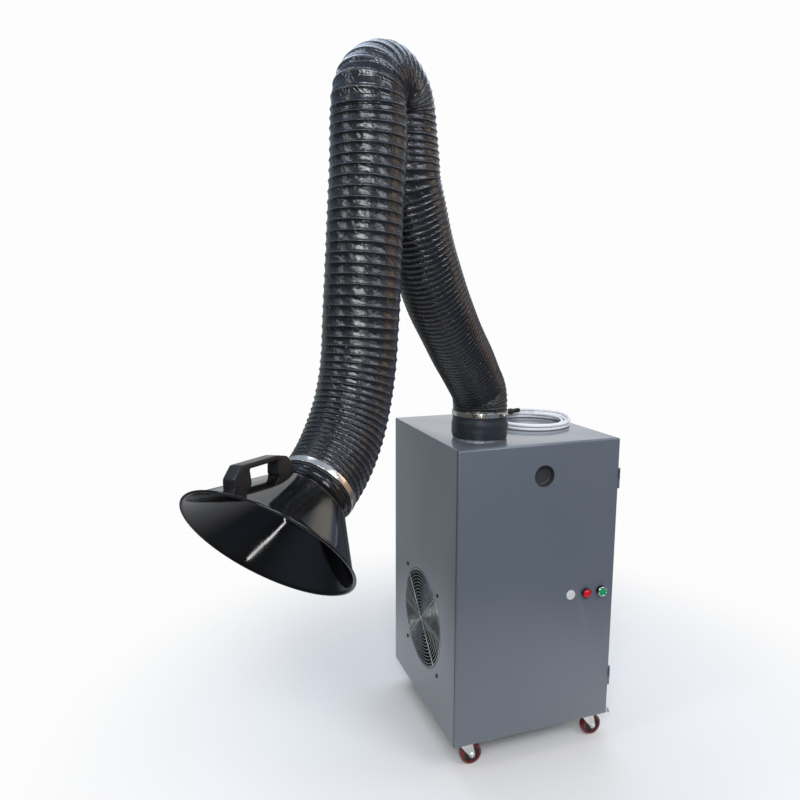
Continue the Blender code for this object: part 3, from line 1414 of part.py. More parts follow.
def build_links():
    """The two bars inside the hose that hold the arm up."""
    shoulder = hose_line(SHOULDER_DISTANCE)[0]
    elbow = hose_line(ELBOW_DISTANCE)[0]
    wrist = hose_line(WRIST_DISTANCE)[0]
    base = hose_line(ELBOW_DISTANCE - FORK_REACH)[0]
    lower = bar_along_hose("lower_link", SHOULDER_DISTANCE, ELBOW_DISTANCE - FORK_REACH, ZINC)
    eye(lower, "shoulder", shoulder, ZINC)
    fork_base(lower, "elbow", base, elbow - base, ZINC)
    ear_pair(lower, "elbow", elbow, base, ZINC)
    eye_bore(lower, "shoulder", shoulder)
    upper = bar_along_hose("upper_link", ELBOW_DISTANCE, WRIST_DISTANCE, ZINC)
    eye(upper, "elbow_upper", elbow, ZINC)
    eye(upper, "wrist_upper", wrist, ZINC)
    eye_bore(upper, "elbow_upper", elbow)
    eye_bore(upper, "wrist_upper", wrist)
    return lower, upper


def build_hose_cuff():
    """The hose's smooth end, pulled down over the inlet, with a wavy lower edge."""
    top = HOSE_START - FIT_GAP / 2
    shape = bmesh.new()
    rows = []
    for height_share, bulge_share in CUFF_BULGE_SHARES:
        row = []
        for step in range(ROUND_SIDES):
            angle = 2 * math.pi * step / ROUND_SIDES
            lift = CUFF_FOOT_WAVE * (1 + math.cos(angle - math.radians(CUFF_LIFT_ANGLE))) / 2
            foot = CUFF_RISE + lift
            height = CABINET_HEIGHT + foot + (top - foot) * height_share
            radius = CUFF_RADIUS + CUFF_BULGE * bulge_share
            place = INLET + Vector((radius * math.cos(angle), radius * math.sin(angle), height))
            row.append(shape.verts.new(place))
        rows.append(row)
    for near, far in zip(rows, rows[1:]):
        for step in range(ROUND_SIDES):
            following = (step + 1) % ROUND_SIDES
            shape.faces.new((near[step], near[following], far[following], far[step]))
    cuff = from_bmesh("hose_cuff", shape, CUFF_RUBBER)
    outward(cuff, X_AXIS)
    facing = max(cuff.data.polygons, key=lambda face: face.center.x)
    if facing.normal.x < 0:
        cuff.data.flip_normals()
    add_thickness(cuff, CUFF_WALL)
    return smooth(cuff)


def build_clamp(name, matrix, inner, housing_angle):
    """A worm-drive clamp: a band with a screw housing, centred on the matrix's origin."""
    half = CLAMP_WIDTH / 2
    clamp = turned(name, ring_profile(inner, inner + CLAMP_BAND, -half, half), STAINLESS, matrix)
    length, depth, height = CLAMP_HOUSING
    place = matrix @ Matrix.Rotation(math.radians(housing_angle), 4, "Z")
    start = inner + CLAMP_BAND / 2
    low = (start, -length / 2, -height / 2)
    high = (start + depth, length / 2, height / 2)
    join(clamp, block(f"{name}_housing", low, high, STAINLESS, CUTTERS, edge=CLAMP_BAND, matrix=place))
    screw_head = place @ Vector((start + depth / 2, -length / 2 - CLAMP_SCREW_REACH, 0.0))
    screw_foot = place @ Vector((start + depth / 2, 0.0, 0.0))
    screw_name = f"{name}_screw"
    join(clamp, rod(screw_name, CLAMP_SCREW_RADIUS, screw_head, screw_foot, STAINLESS, CUTTERS, TINY_SIDES))
    return clamp


# Hood. Its matrix has z along the neck to the mouth and x towards the handle.

def hood_place():
    """The matrix at the start of the hood's cone."""
    end, heading = hose_line(HOSE_LENGTH)
    along = heading_vector(heading)
    upper = heading_vector(heading + math.pi / 2)
    side = along.cross(upper)
    turn = math.radians(HOOD_TURN)
    handle_side = upper * math.cos(turn) + side * math.sin(turn)
    return frame_on(end + along * HOSE_END_TO_CONE, along, handle_side)


def hood_ring(share, growth=0.0):
    """A ring of the hood's cone: share 0 is its neck and 1 its slanted mouth."""
    tilt = math.radians(MOUTH_TILT)
    across = Vector((math.cos(tilt), 0.0, math.sin(tilt)))
    mouth_centre = Vector((HOOD_OFFSET, 0.0, HOOD_LENGTH))
    ring = []
    for step in range(HOOD_SIDES):
        angle = 2 * math.pi * step / HOOD_SIDES
        neck = Vector((math.cos(angle), math.sin(angle), 0.0)) * (NECK_RADIUS + growth)
        out = across * math.cos(angle) + Y_AXIS * math.sin(angle)
        mouth = mouth_centre + out * (MOUTH_RADIUS + growth)
        ring.append(neck.lerp(mouth, share))
    return ring


def loft(shape, rings):
    """Faces between closed rings of the same number of points."""
    rows = [[shape.verts.new(place) for place in ring] for ring in rings]
    for near, far in zip(rows, rows[1:]):
        count = len(near)
        for step in range(count):
            following = (step + 1) % count
            shape.faces.new((near[step], near[following], far[following], far[step]))
    return rows


def round_ring(radius, height):
    """A level ring of the hood's number of points."""
    return [Vector((x, y, height)) for x, y in circle_points(radius, HOOD_SIDES)]


def build_hood():
    """The suction hood: a cone with an off-centre, slanted mouth and a lipped rim."""
    insert_radius = NECK_RADIUS - COLLAR_WALL - FIT_GAP
    rings = [round_ring(insert_radius, -HOOD_NECK_INSERT), round_ring(insert_radius, FIT_GAP)]
    cone = [hood_ring(share) for share in HOOD_RING_SHARES]
    cone[0] = round_ring(NECK_RADIUS, FIT_GAP)
    tilt = math.radians(MOUTH_TILT)
    mouth_axis = Vector((-math.sin(tilt), 0.0, math.cos(tilt)))
    lip = [place + mouth_axis * RIM_ROLL / 2 for place in hood_ring(1.0, RIM_ROLL)]
    shape = bmesh.new()
    loft(shape, rings + cone + [lip])
    hood = from_bmesh("hood", shape, BLACK_PLASTIC, matrix=hood_place())
    facing = max(hood.data.polygons, key=lambda face: face.center.x)
    if facing.normal.x < 0:
        hood.data.flip_normals()
    add_thickness(hood, HOOD_WALL)
    return smooth(hood)


def build_handle():
    """The bridge handle moulded on the hood's long side, trimmed to the cone."""
    place = hood_place()
    along = place.to_3x3().col[2]
    across = place.to_3x3().col[1]
    side_view = frame_on(place.translation + across * HANDLE_SHIFT, across, along)
    outline = [(HOOD_LENGTH * far, HOOD_LENGTH * out) for far, out in HANDLE_OUTLINE_SHARES]
    handle = as_mesh(flat_plate("hood_handle", [outline], HANDLE_WIDTH, BLACK_PLASTIC, side_view))
    add_bevel(handle, HANDLE_EDGE, 2)
    shape = bmesh.new()
    rows = loft(shape, [hood_ring(share, 2 * FIT_GAP) for share in HANDLE_TRIM_SHARES])
    shape.faces.new(rows[0])
    shape.faces.new(rows[-1])
    trim = from_bmesh("handle_trim_cutter", shape, BLACK_PLASTIC, CUTTERS, place)
    cut(handle, trim)
    return handle


def build_hood_bracket():
    """The sleeve the hose is clamped to, with the bearing for the collar and the wrist's ears."""
    place = hood_place()
    top = -HOSE_END_TO_CONE + FIT_GAP
    bore = BEARING_RADIUS - BEARING_WALL
    profile = [
        (BEARING_RADIUS, -BEARING_END),
        (BEARING_RADIUS, -SLEEVE_END),
        (SLEEVE_RADIUS, -SLEEVE_END),
        (SLEEVE_RADIUS, top),
        (bore, top),
        (bore, -BEARING_END),
    ]
    bracket = turned("hood_bracket", profile, BLACK_PAINT, place)
    bar_end = HOSE_LENGTH + CROSSBAR_WIDTH / 2
    wrist = hose_line(WRIST_DISTANCE)[0]
    base = hose_line(WRIST_DISTANCE + FORK_REACH)[0]
    bar = bar_along_hose("bracket_bar", WRIST_DISTANCE + FORK_REACH, bar_end, BLACK_PAINT)
    join(bracket, bar)
    half = CROSSBAR_WIDTH / 3
    low = top + CROSSBAR_SHEET
    reach = bore + BEARING_WALL
    for index, (half_x, half_y) in enumerate(((reach, half), (half, reach))):
        arm = block(
            f"bracket_arm_{index + 1}", (-half_x, -half_y, low + index * FIT_GAP),
            (half_x, half_y, low + CROSSBAR_SHEET + index * FIT_GAP), BLACK_PAINT, CUTTERS, matrix=place,
        )
        join(bracket, arm)
    fork_base(bracket, "wrist", base, base - wrist, BLACK_PAINT)
    ear_pair(bracket, "wrist", wrist, base, BLACK_PAINT)
    return bracket


def build_hood_collar():
    """The ring that turns with the hood on the bracket's bearing."""
    profile = ring_profile(NECK_RADIUS - COLLAR_WALL, NECK_RADIUS, -SLEEVE_END + FIT_GAP, 0.0)
    return turned("hood_collar", profile, BLACK_PLASTIC, hood_place(), HOOD_SIDES)


# Mains cord

def build_gland():
    """The cable gland in the rear panel, with its nut behind the sheet."""
    nut = -SHEET - FIT_GAP
    profile = [
        (0.0, GLAND_LENGTH - GLAND_BORE_DEPTH),
        (CORD_RADIUS + FIT_GAP, GLAND_LENGTH - GLAND_BORE_DEPTH),
        (CORD_RADIUS + FIT_GAP, GLAND_LENGTH),
        (GLAND_STEM_RADIUS, GLAND_LENGTH),
        (GLAND_RADIUS, GLAND_LENGTH * GLAND_CAP_SHARE),
        (GLAND_RADIUS, FIT_GAP),
        (GLAND_STEM_RADIUS, FIT_GAP),
        (GLAND_STEM_RADIUS, nut),
        (GLAND_RADIUS, nut),
        (GLAND_RADIUS, nut - GLAND_RADIUS / 2),
        (0.0, nut - GLAND_RADIUS / 2),
    ]
    place = frame_on((GLAND_X, HALF_DEPTH, GLAND_Z), Y_AXIS, X_AXIS)
    return turned("cable_gland", profile, BLACK_PLASTIC, place, SMALL_SIDES, closed=False)


def cord_route():
    """The cord from its gland, up over the rear edge and down to where the coil begins."""
    start_y = HALF_DEPTH + GLAND_LENGTH - GLAND_BORE_DEPTH + 2 * FIT_GAP
    turn_y = HALF_DEPTH + GLAND_LENGTH
    points = [Vector((GLAND_X, start_y, GLAND_Z))]
    steps = CORD_ARC_STEPS
    for step in range(steps + 1):
        angle = math.pi * step / steps
        points.append(Vector((
            GLAND_X, turn_y + CORD_BEND_RADIUS * math.sin(angle),
            GLAND_Z + CORD_BEND_RADIUS * (1 - math.cos(angle)),
        )))
    top = GLAND_Z + 2 * CORD_BEND_RADIUS
    rest = layer_height(0)
    steps = round(CORD_LANDING / CORD_STEP)
    for step in range(1, steps + 1):
        share = step / steps
        drop = (1 - math.cos(math.pi * share)) / 2
        points.append(Vector((GLAND_X, turn_y - CORD_LANDING * share, top + (rest - top) * drop)))
    landed_y = turn_y - CORD_LANDING
    steps = round((landed_y - COIL_Y) / CORD_STEP)
    for step in range(1, steps + 1):
        points.append(Vector((GLAND_X, landed_y + (COIL_Y - landed_y) * step / steps, rest)))
    return points


def layer_height(layer):
    """The height of the cord's middle in a layer of the coil."""
    return CABINET_HEIGHT + FIT_GAP + CORD_RADIUS + layer * CORD_SPACING


def coil_route():
    """The coil: it winds inwards, climbs as it turns back, winds outwards on top, and ends in a
    tail that climbs again and crosses the loops to the plug."""
    climb_start = COIL_LOWER_TURNS
    climb_end = climb_start + COIL_CLIMB_TURNS
    upper_end = climb_end + COIL_UPPER_TURNS
    tail_end = upper_end + COIL_TAIL_TURNS
    inner = COIL_OUTER_RADIUS - CORD_SPACING * climb_end
    outer = inner + CORD_SPACING * (COIL_UPPER_TURNS + COIL_REVERSE_SHARE)
    tail_height = CABINET_HEIGHT + 2 * CORD_SPACING + 2 * FIT_GAP + PLUG_RADIUS
    points = []
    steps = round(tail_end * COIL_POINTS_PER_LOOP)
    for step in range(steps + 1):
        turns = tail_end * step / steps
        if turns <= climb_end:
            radius = COIL_OUTER_RADIUS - CORD_SPACING * turns
        elif turns <= upper_end:
            back = turns - climb_end
            radius = inner + CORD_SPACING * (back + COIL_REVERSE_SHARE * min(back / COIL_CLIMB_TURNS, 1.0))
        else:
            radius = outer
        climbed = min(max((turns - climb_start) / COIL_CLIMB_TURNS, 0.0), 1.0)
        height = layer_height(climbed)
        tail = max((turns - upper_end) / COIL_TAIL_TURNS, 0.0)
        if tail:
            rising = min(tail / COIL_TAIL_CLIMB_SHARE, 1.0)
            inward = max((tail - COIL_TAIL_CLIMB_SHARE) / (1 - COIL_TAIL_CLIMB_SHARE), 0.0)
            radius = outer + (COIL_TAIL_END_RADIUS - outer) * inward * math.sqrt(inward)
            crossing = layer_height(1) + CORD_SPACING * rising
            height = crossing + (tail_height - layer_height(2)) * (1 - math.cos(math.pi * inward)) / 2
        angle = math.radians(COIL_START_ANGLE) + 2 * math.pi * turns
        place = (COIL_X + radius * math.cos(angle), COIL_Y + radius * math.sin(angle), height)
        points.append(Vector(place))
    return points


def segment_gap(first_start, first_end, second_start, second_end):
    """The least distance between two straight segments."""
    along = first_end - first_start
    other = second_end - second_start
    between = first_start - second_start
    a, b, c = along.dot(along), along.dot(other), other.dot(other)
    d, e = along.dot(between), other.dot(between)
    spread = a * c - b * b
    near = min(max((b * e - c * d) / spread, 0.0), 1.0) if spread > 0 else 0.0
    far = min(max((b * near + e) / c, 0.0), 1.0)
    near = min(max((b * far - d) / a, 0.0), 1.0)
    return (between + along * near - other * far).length


def coil_least_gap(points):
    """The least clear space between one loop of the coil and another."""
    apart = COIL_POINTS_PER_LOOP // 2
    least = COIL_OUTER_RADIUS
    for first in range(len(points) - 1):
        for second in range(first + apart, len(points) - 1):
            distance = segment_gap(points[first], points[first + 1], points[second], points[second + 1])
            least = min(least, distance - 2 * CORD_RADIUS)
    return least


def build_cord():
    """The cord, its coil and the plug."""
    route = cord_route()
    coil = coil_route()
    gap = coil_least_gap(coil)
    print(f"cord coil: least gap to itself {gap * 1000:.2f} mm")
    assert gap > COIL_LEAST_GAP, "the coil's loops are too close"
    onward = (coil[1] - coil[0]).normalized()
    route[-1] = coil[0] - onward * CORD_RADIUS
    route.append(coil[0] - onward * FIT_GAP)
    tube("power_cord", route, CORD_RADIUS, CORD_SHEATH, resolution=2)
    tube("cord_coil", coil, CORD_RADIUS, CORD_SHEATH, resolution=1)
    build_plug(coil[-1], coil[-1] - coil[-2])


def build_plug(end, direction):
    """The plug on the coil's tail: a sleeve, a body and two pins."""
    level = Vector((direction.x, direction.y, 0.0)).normalized()
    place = frame_on(end - level * (PLUG_BORE_DEPTH - FIT_GAP), level, Z_AXIS)
    total = PLUG_SLEEVE + PLUG_LENGTH
    profile = [
        (0.0, total),
        (PLUG_RADIUS * PLUG_FACE_SHARE, total),
        (PLUG_RADIUS, total - PLUG_RADIUS / 2),
        (PLUG_RADIUS, PLUG_SLEEVE + PLUG_RADIUS),
        (PLUG_SLEEVE_RADIUS, PLUG_SLEEVE),
        (PLUG_SLEEVE_RADIUS, 0.0),
        (PLUG_BORE_RADIUS, 0.0),
        (PLUG_BORE_RADIUS, PLUG_BORE_DEPTH),
        (0.0, PLUG_BORE_DEPTH),
    ]
    plug = turned("cord_plug", profile, BLACK_PLASTIC, place, SMALL_SIDES, closed=False)
    for side in (-1, 1):
        foot = place @ Vector((0.0, side * PIN_PITCH / 2, total - FIT_GAP * 2))
        tip = place @ Vector((0.0, side * PIN_PITCH / 2, total + PIN_LENGTH))
        join(plug, rod(f"plug_pin_{side}", PIN_RADIUS, foot, tip, ZINC, CUTTERS, TINY_SIDES))
    return plug


def build_arm():
    """Everything that turns on the inlet, on a chain of joint axes."""
    turntable = build_turntable()
    lower, upper = build_links()
    sections = build_hose()
    cuff = build_hose_cuff()
    clamp_height = CABINET_HEIGHT + HOSE_START - FIT_GAP - CLAMP_WIDTH / 2
    clamp_place = Matrix.Translation(INLET + Z_AXIS * clamp_height)
    cuff_clamp = build_clamp("cuff_clamp", clamp_place, CUFF_RADIUS + FIT_GAP, CLAMP_HOUSING_ANGLE)
    bracket = build_hood_bracket()
    band_middle = -(HOSE_END_TO_CONE + SLEEVE_END) / 2 - END_LAND
    band_place = hood_place() @ Matrix.Translation(Z_AXIS * band_middle)
    hood_clamp = build_clamp("hood_clamp", band_place, SLEEVE_RADIUS + FIT_GAP, HOOD_CLAMP_ANGLE)
    collar = build_hood_collar()
    hood = build_hood()
    handle = build_handle()

    swivel = pivot_empty("arm_swivel_axis", Matrix.Translation(INLET))
    places = [frame_on(hose_line(distance)[0], ARM_NORMAL, ARM_DIRECTION)
              for distance in (SHOULDER_DISTANCE, ELBOW_DISTANCE, WRIST_DISTANCE)]
    shoulder, elbow, wrist = [pivot_empty(name, place) for name, place in zip(
        ("shoulder_axis", "elbow_axis", "hood_tilt_axis"), places)]
    hood_turn = pivot_empty("hood_turn_axis", hood_place())
    hang_on(swivel, turntable, cuff, cuff_clamp, sections["hose_shoulder_bend"], shoulder)
    hang_on(shoulder, lower, sections["hose_lower"], sections["hose_elbow_bend"], elbow)
    hang_on(elbow, upper, sections["hose_upper"], sections["hose_wrist_bend"], wrist)
    hang_on(wrist, bracket, hood_clamp, hood_turn)
    hang_on(hood_turn, collar, hood, handle)


def build_cabinet():
    """The cabinet's sheets, filter, fan and controls."""
    build_cabinet_wrap()
    build_rear_panel()
    build_base_tray()
    build_inlet_spigot()
    build_filter_shelf()
    build_filter()
    build_control_box()
    build_fan_shroud()
    build_fan_motor()
    build_fan_guard()
    build_fan_screws()
    fan_axis = pivot_empty("fan_axis", fan_place())
    hang_on(fan_axis, build_fan_impeller())
    door_axis = pivot_empty("door_axis", Matrix.Translation(HINGE_AXIS))
    stop = build_button("stop", 1, STOP_BEZEL_RISE, STOP_DOME, RED_PLASTIC)
    start = build_button("start", 2, START_BEZEL_RISE, START_DOME, GREEN_PLASTIC)
    fixed = [bpy.data.objects[name] for name in ("stop_housing", "start_housing")]
    hang_on(door_axis, build_front_door(), build_door_seal(), build_lamp(), stop, start, *fixed)


build_cabinet()
for corner_name, corner_centre, has_brake in caster_places():
    build_caster(corner_name, corner_centre, has_brake)
build_gland()
build_arm()
build_cord()
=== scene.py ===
"""The looks of the mobile welding fume extractor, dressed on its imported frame.

Metres, +Z up. The origin is the middle of the cabinet's underside and the front faces -Y. Places
and sizes repeat the part's own, so that each piece here lies on the solid that it stands for.
"""

from math import asin, cos, exp, pi, radians, sin, sqrt

import bpy
import bmesh
import numpy as np
from mathutils import Matrix, Vector


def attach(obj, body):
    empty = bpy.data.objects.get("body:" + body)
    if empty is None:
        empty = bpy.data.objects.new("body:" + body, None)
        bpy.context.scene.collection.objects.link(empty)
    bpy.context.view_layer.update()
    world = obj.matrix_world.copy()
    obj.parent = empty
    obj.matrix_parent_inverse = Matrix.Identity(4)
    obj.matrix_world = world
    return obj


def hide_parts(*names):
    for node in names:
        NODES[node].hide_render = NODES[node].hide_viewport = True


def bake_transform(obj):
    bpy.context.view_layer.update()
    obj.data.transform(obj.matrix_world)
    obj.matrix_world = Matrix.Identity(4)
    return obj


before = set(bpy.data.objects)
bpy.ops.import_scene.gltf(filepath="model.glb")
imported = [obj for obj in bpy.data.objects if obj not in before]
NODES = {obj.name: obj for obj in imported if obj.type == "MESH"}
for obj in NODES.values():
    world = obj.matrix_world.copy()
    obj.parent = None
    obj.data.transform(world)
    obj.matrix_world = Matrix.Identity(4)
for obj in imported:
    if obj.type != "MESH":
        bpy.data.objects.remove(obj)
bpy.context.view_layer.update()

X_AXIS = Vector((1.0, 0.0, 0.0))
Y_AXIS = Vector((0.0, 1.0, 0.0))
Z_AXIS = Vector((0.0, 0.0, 1.0))

# Sizes of the part that the pieces here fit
WIDTH, DEPTH, HEIGHT = 0.500, 0.510, 0.850
HALF_X, HALF_Y = WIDTH / 2, DEPTH / 2
SHEET = 0.0015
GAP = 0.0003
FLANGE = 0.018
WRAP_FRONT = -HALF_Y + 0.0095
HINGE = Vector((HALF_X + 0.0063, WRAP_FRONT - 0.00075, 0.0))
FINGER_HOLE = Vector((0.008, -HALF_Y, 0.761))
FAN = Vector((-HALF_X, 0.0055, 0.268))
FAN_OPENING, INLET_HOLE, FINGER_OPENING, BUTTON_HOLE = 0.150, 0.0738, 0.0301, 0.0118
CONTROL_HEIGHT = 0.402
CORNERS = {
    "front_left": (-0.203, -0.210), "front_right": (0.203, -0.210),
    "rear_left": (-0.203, 0.210), "rear_right": (0.203, 0.210),
}
INLET = Vector((-0.1213, -0.110, 0.0))
ARM_AZIMUTH = radians(-138.65)
ARM_DIRECTION = Vector((cos(ARM_AZIMUTH), sin(ARM_AZIMUTH), 0.0))
ARM_NORMAL = Z_AXIS.cross(ARM_DIRECTION)
HOSE_START = 0.080
HOSE_RADIUS = 0.0770
RUN_LENGTHS = (0.013, 0.070, 0.215, 0.400, 0.048, 0.097, 0.2255, 0.140, 0.309, 0.139, 0.170)
RUN_HEADINGS = (90.0, 42.0, 42.0, 64.2, 89.6, 89.6, -90.4, -84.2, -84.2, -67.2, -31.0)
HOSE_LENGTH = sum(RUN_LENGTHS)
FOLD_START = sum(RUN_LENGTHS[:6])
FOLD_END = FOLD_START + RUN_LENGTHS[6]
ELBOW = (FOLD_START + FOLD_END) / 2
SHOULDER_END = 0.080 * HOSE_LENGTH
WRIST_START = 0.824 * HOSE_LENGTH


# Materials

def node(tree, kind, inputs, **settings):
    """The outputs of a new shader node. Each input is a plain value or a socket to link."""
    made = tree.nodes.new("ShaderNode" + kind)
    for name, value in settings.items():
        setattr(made, name, value)
    for name, value in inputs.items():
        if isinstance(value, bpy.types.NodeSocket):
            tree.links.new(value, made.inputs[name])
        else:
            made.inputs[name].default_value = value
    return made.outputs


def shader_of(material):
    """The shader that gives a material its look."""
    return material.node_tree.nodes["Principled BSDF"]


def noise(material, scale, detail, squeeze=1.0):
    """The value of a noise in object coordinates, squeezed along z."""
    tree = material.node_tree
    place = node(tree, "TexCoord", {})["Object"]
    place = node(tree, "Mapping", {"Vector": place, "Scale": (1.0, 1.0, squeeze)})["Vector"]
    return node(tree, "TexNoise", {"Vector": place, "Scale": scale, "Detail": detail})["Fac"]


def creases(material, length, width, lean, kind):
    """Slanting creases in the hose's UV plane: their length, their width and their lean in degrees."""
    tree = material.node_tree
    inputs = {
        "Vector": node(tree, "TexCoord", {})["UV"], "Scale": (length, width, 1.0),
        "Rotation": (0.0, 0.0, radians(lean)),
    }
    place = node(tree, "Mapping", inputs, vector_type="TEXTURE")["Vector"]
    return node(tree, "TexNoise", {"Vector": place, "Scale": 1.0, "Detail": 3.0}, noise_type=kind)["Fac"]


def ramp(tree, factor, stops):
    """A colour from a factor, between (place, colour) stops."""
    made = tree.nodes.new("ShaderNodeValToRGB")
    elements = made.color_ramp.elements
    while len(elements) < len(stops):
        elements.new(0.5)
    for element, (place, colour) in zip(elements, stops):
        element.position = place
        element.color = (*colour, 1.0)
    tree.links.new(factor, made.inputs["Fac"])
    return made.outputs["Color"]


def tint(material, factor, first, second, low=0.35, high=0.65):
    """Let a factor mix two colours into the base colour."""
    tree = material.node_tree
    colour = ramp(tree, factor, ((low, first), (high, second)))
    tree.links.new(colour, shader_of(material).inputs["Base Color"])


def spread(material, factor, low, high):
    """Let a factor drive the roughness between two values."""
    tree = material.node_tree
    inputs = {"Value": factor, "From Min": 0.3, "From Max": 0.7, "To Min": low, "To Max": high}
    tree.links.new(node(tree, "MapRange", inputs)["Result"], shader_of(material).inputs["Roughness"])


def add_bump(material, height, strength, distance):
    """Drive the surface by a height, after any bump that is there."""
    tree, shader = material.node_tree, shader_of(material)
    inputs = {"Height": height, "Strength": strength, "Distance": distance}
    for link in shader.inputs["Normal"].links:
        inputs["Normal"] = link.from_socket
    normal = node(tree, "Bump", inputs)["Normal"]
    tree.links.new(normal, shader.inputs["Normal"])
    if shader.inputs["Coat Weight"].default_value:
        tree.links.new(normal, shader.inputs["Coat Normal"])


def finish(
    name, colour, roughness, metallic=0.0, coat=0.0, coat_roughness=0.08, specular=0.5,
    shades=None, gloss=None, bumps=(),
):
    """A Principled material that noise varies.

    Shades, gloss and each bump start with a noise's scale and detail. Then shades has two colours,
    gloss the lowest and the highest roughness, and a bump its strength and its distance.
    """
    made = bpy.data.materials.new(name)
    made.use_nodes = True
    made.diffuse_color = (*colour, 1.0)
    inputs = shader_of(made).inputs
    inputs["Base Color"].default_value = (*colour, 1.0)
    inputs["Roughness"].default_value = roughness
    inputs["Metallic"].default_value = metallic
    inputs["Coat Weight"].default_value = coat
    inputs["Coat Roughness"].default_value = coat_roughness
    inputs["Specular IOR Level"].default_value = specular
    if shades:
        tint(made, noise(made, *shades[:2]), *shades[2:])
    if gloss:
        spread(made, noise(made, *gloss[:2]), *gloss[2:])
    for scale, detail, strength, distance in bumps:
        add_bump(made, noise(made, scale, detail), strength, distance)
    return made


POWDER = finish(
    "powder_coat", (0.112, 0.130, 0.158), 0.42, coat=1.0, coat_roughness=0.055, specular=0.25,
    shades=(2.2, 2.0, (0.108, 0.126, 0.154), (0.116, 0.134, 0.162)), gloss=(7.0, 3.0, 0.36, 0.44),
    bumps=((620.0, 2.0, 0.05, 0.0004), (3.5, 1.0, 0.02, 0.010)),
)
GALVANISED = finish("galvanised_sheet", (0.50, 0.52, 0.54), 0.42, 0.9)
tree = GALVANISED.node_tree
spangles = node(tree, "TexVoronoi", {"Vector": node(tree, "TexCoord", {})["Object"], "Scale": 90.0})
tint(GALVANISED, spangles["Color"], (0.44, 0.46, 0.48), (0.60, 0.62, 0.64), 0.1, 0.9)
ZINC = finish(
    "zinc_plate", (0.62, 0.64, 0.62), 0.30, 1.0,
    shades=(28.0, 3.0, (0.52, 0.54, 0.52), (0.72, 0.73, 0.70)), gloss=(55.0, 4.0, 0.22, 0.40),
)
GUARD_WIRE = finish(
    "guard_wire", (0.44, 0.45, 0.44), 0.34, 1.0, shades=(40.0, 3.0, (0.38, 0.39, 0.38), (0.52, 0.53, 0.51)),
)
STEEL_BAND = finish("stainless_band", (0.74, 0.69, 0.60), 0.20, 1.0)
spread(STEEL_BAND, noise(STEEL_BAND, 90.0, 2.0, 9.0), 0.14, 0.30)
SLOT_STEEL = finish("clamp_slot", (0.10, 0.09, 0.08), 0.5, 0.8, gloss=(200.0, 2.0, 0.44, 0.58))
CHROME = finish("chrome_bezel", (0.78, 0.80, 0.79), 0.12, 1.0, gloss=(220.0, 2.0, 0.08, 0.18))
ALUMINIUM = finish("filter_aluminium", (0.66, 0.67, 0.68), 0.38, 0.95, gloss=(60.0, 3.0, 0.30, 0.46))
GLOSS_BLACK = finish(
    "black_plastic", (0.0042, 0.0042, 0.0046), 0.07, gloss=(18.0, 4.0, 0.04, 0.12),
    bumps=((22.0, 3.0, 0.12, 0.0016), (700.0, 2.0, 0.03, 0.0003)),
)
SATIN_BLACK = finish(
    "black_plastic_satin", (0.010, 0.0105, 0.012), 0.34, specular=0.42, gloss=(30.0, 3.0, 0.28, 0.42),
    bumps=((900.0, 2.0, 0.10, 0.0003),),
)
BLACK_PAINT = finish(
    "black_paint", (0.012, 0.012, 0.014), 0.42, gloss=(40.0, 3.0, 0.36, 0.50),
    bumps=((600.0, 2.0, 0.08, 0.0003),),
)
FOAM = finish("seal_foam", (0.010, 0.010, 0.010), 0.92, specular=0.2, bumps=((900.0, 3.0, 0.5, 0.0005),))
CORE = finish("wheel_core", (0.016, 0.016, 0.016), 0.42, gloss=(70.0, 3.0, 0.36, 0.50))
CUFF = finish("cuff_rubber", (0.017, 0.021, 0.029), 0.36, gloss=(40.0, 3.0, 0.28, 0.46))
add_bump(CUFF, noise(CUFF, 60.0, 4.0, 2.6), 0.45, 0.0016)
PAPER = finish(
    "filter_paper", (0.72, 0.71, 0.64), 0.95, shades=(30.0, 4.0, (0.66, 0.65, 0.58), (0.76, 0.75, 0.69)),
)
CUP_GREY = finish("cup_grey", (0.040, 0.042, 0.043), 0.38, specular=0.4, gloss=(60.0, 3.0, 0.32, 0.46))
RED = finish("red_plastic", (0.62, 0.003, 0.012), 0.24, specular=0.4, gloss=(160.0, 2.0, 0.20, 0.30))
GREEN = finish("green_plastic", (0.004, 0.30, 0.105), 0.26, specular=0.4, gloss=(160.0, 2.0, 0.22, 0.32))
WHITE = finish("white_plastic", (0.60, 0.60, 0.60), 0.32, specular=0.4, gloss=(160.0, 2.0, 0.28, 0.38))
POLYURETHANE = finish(
    "red_polyurethane", (0.120, 0.005, 0.008), 0.30,
    shades=(45.0, 3.0, (0.095, 0.004, 0.006), (0.140, 0.007, 0.010)), bumps=((420.0, 3.0, 0.10, 0.0004),),
)
SHEATH = finish(
    "cord_sheath", (0.72, 0.73, 0.75), 0.34, shades=(24.0, 2.0, (0.69, 0.70, 0.72), (0.75, 0.76, 0.78)),
    bumps=((260.0, 2.0, 0.06, 0.0003),),
)
HOSE = finish(
    "coated_hose_fabric", (0.0060, 0.0066, 0.0084), 0.22, specular=0.62, gloss=(34.0, 3.0, 0.15, 0.30),
)
# Painted highlight: the cords' paler colour stands in for the light that their raised beads catch
painted_cord_highlight = node(HOSE.node_tree, "Attribute", {}, attribute_name="painted_cord_highlight")["Fac"]
tint(HOSE, painted_cord_highlight, (0.0056, 0.0062, 0.0080), (0.050, 0.052, 0.056), 0.30, 0.95)
add_bump(HOSE, creases(HOSE, 0.022, 0.0070, 24.0, "FBM"), 0.55, 0.0026)
add_bump(HOSE, creases(HOSE, 0.0120, 0.0036, 26.0, "RIDGED_MULTIFRACTAL"), 0.85, 0.0013)
add_bump(HOSE, noise(HOSE, 1500.0, 1.0), 0.05, 0.0002)


# Shapes

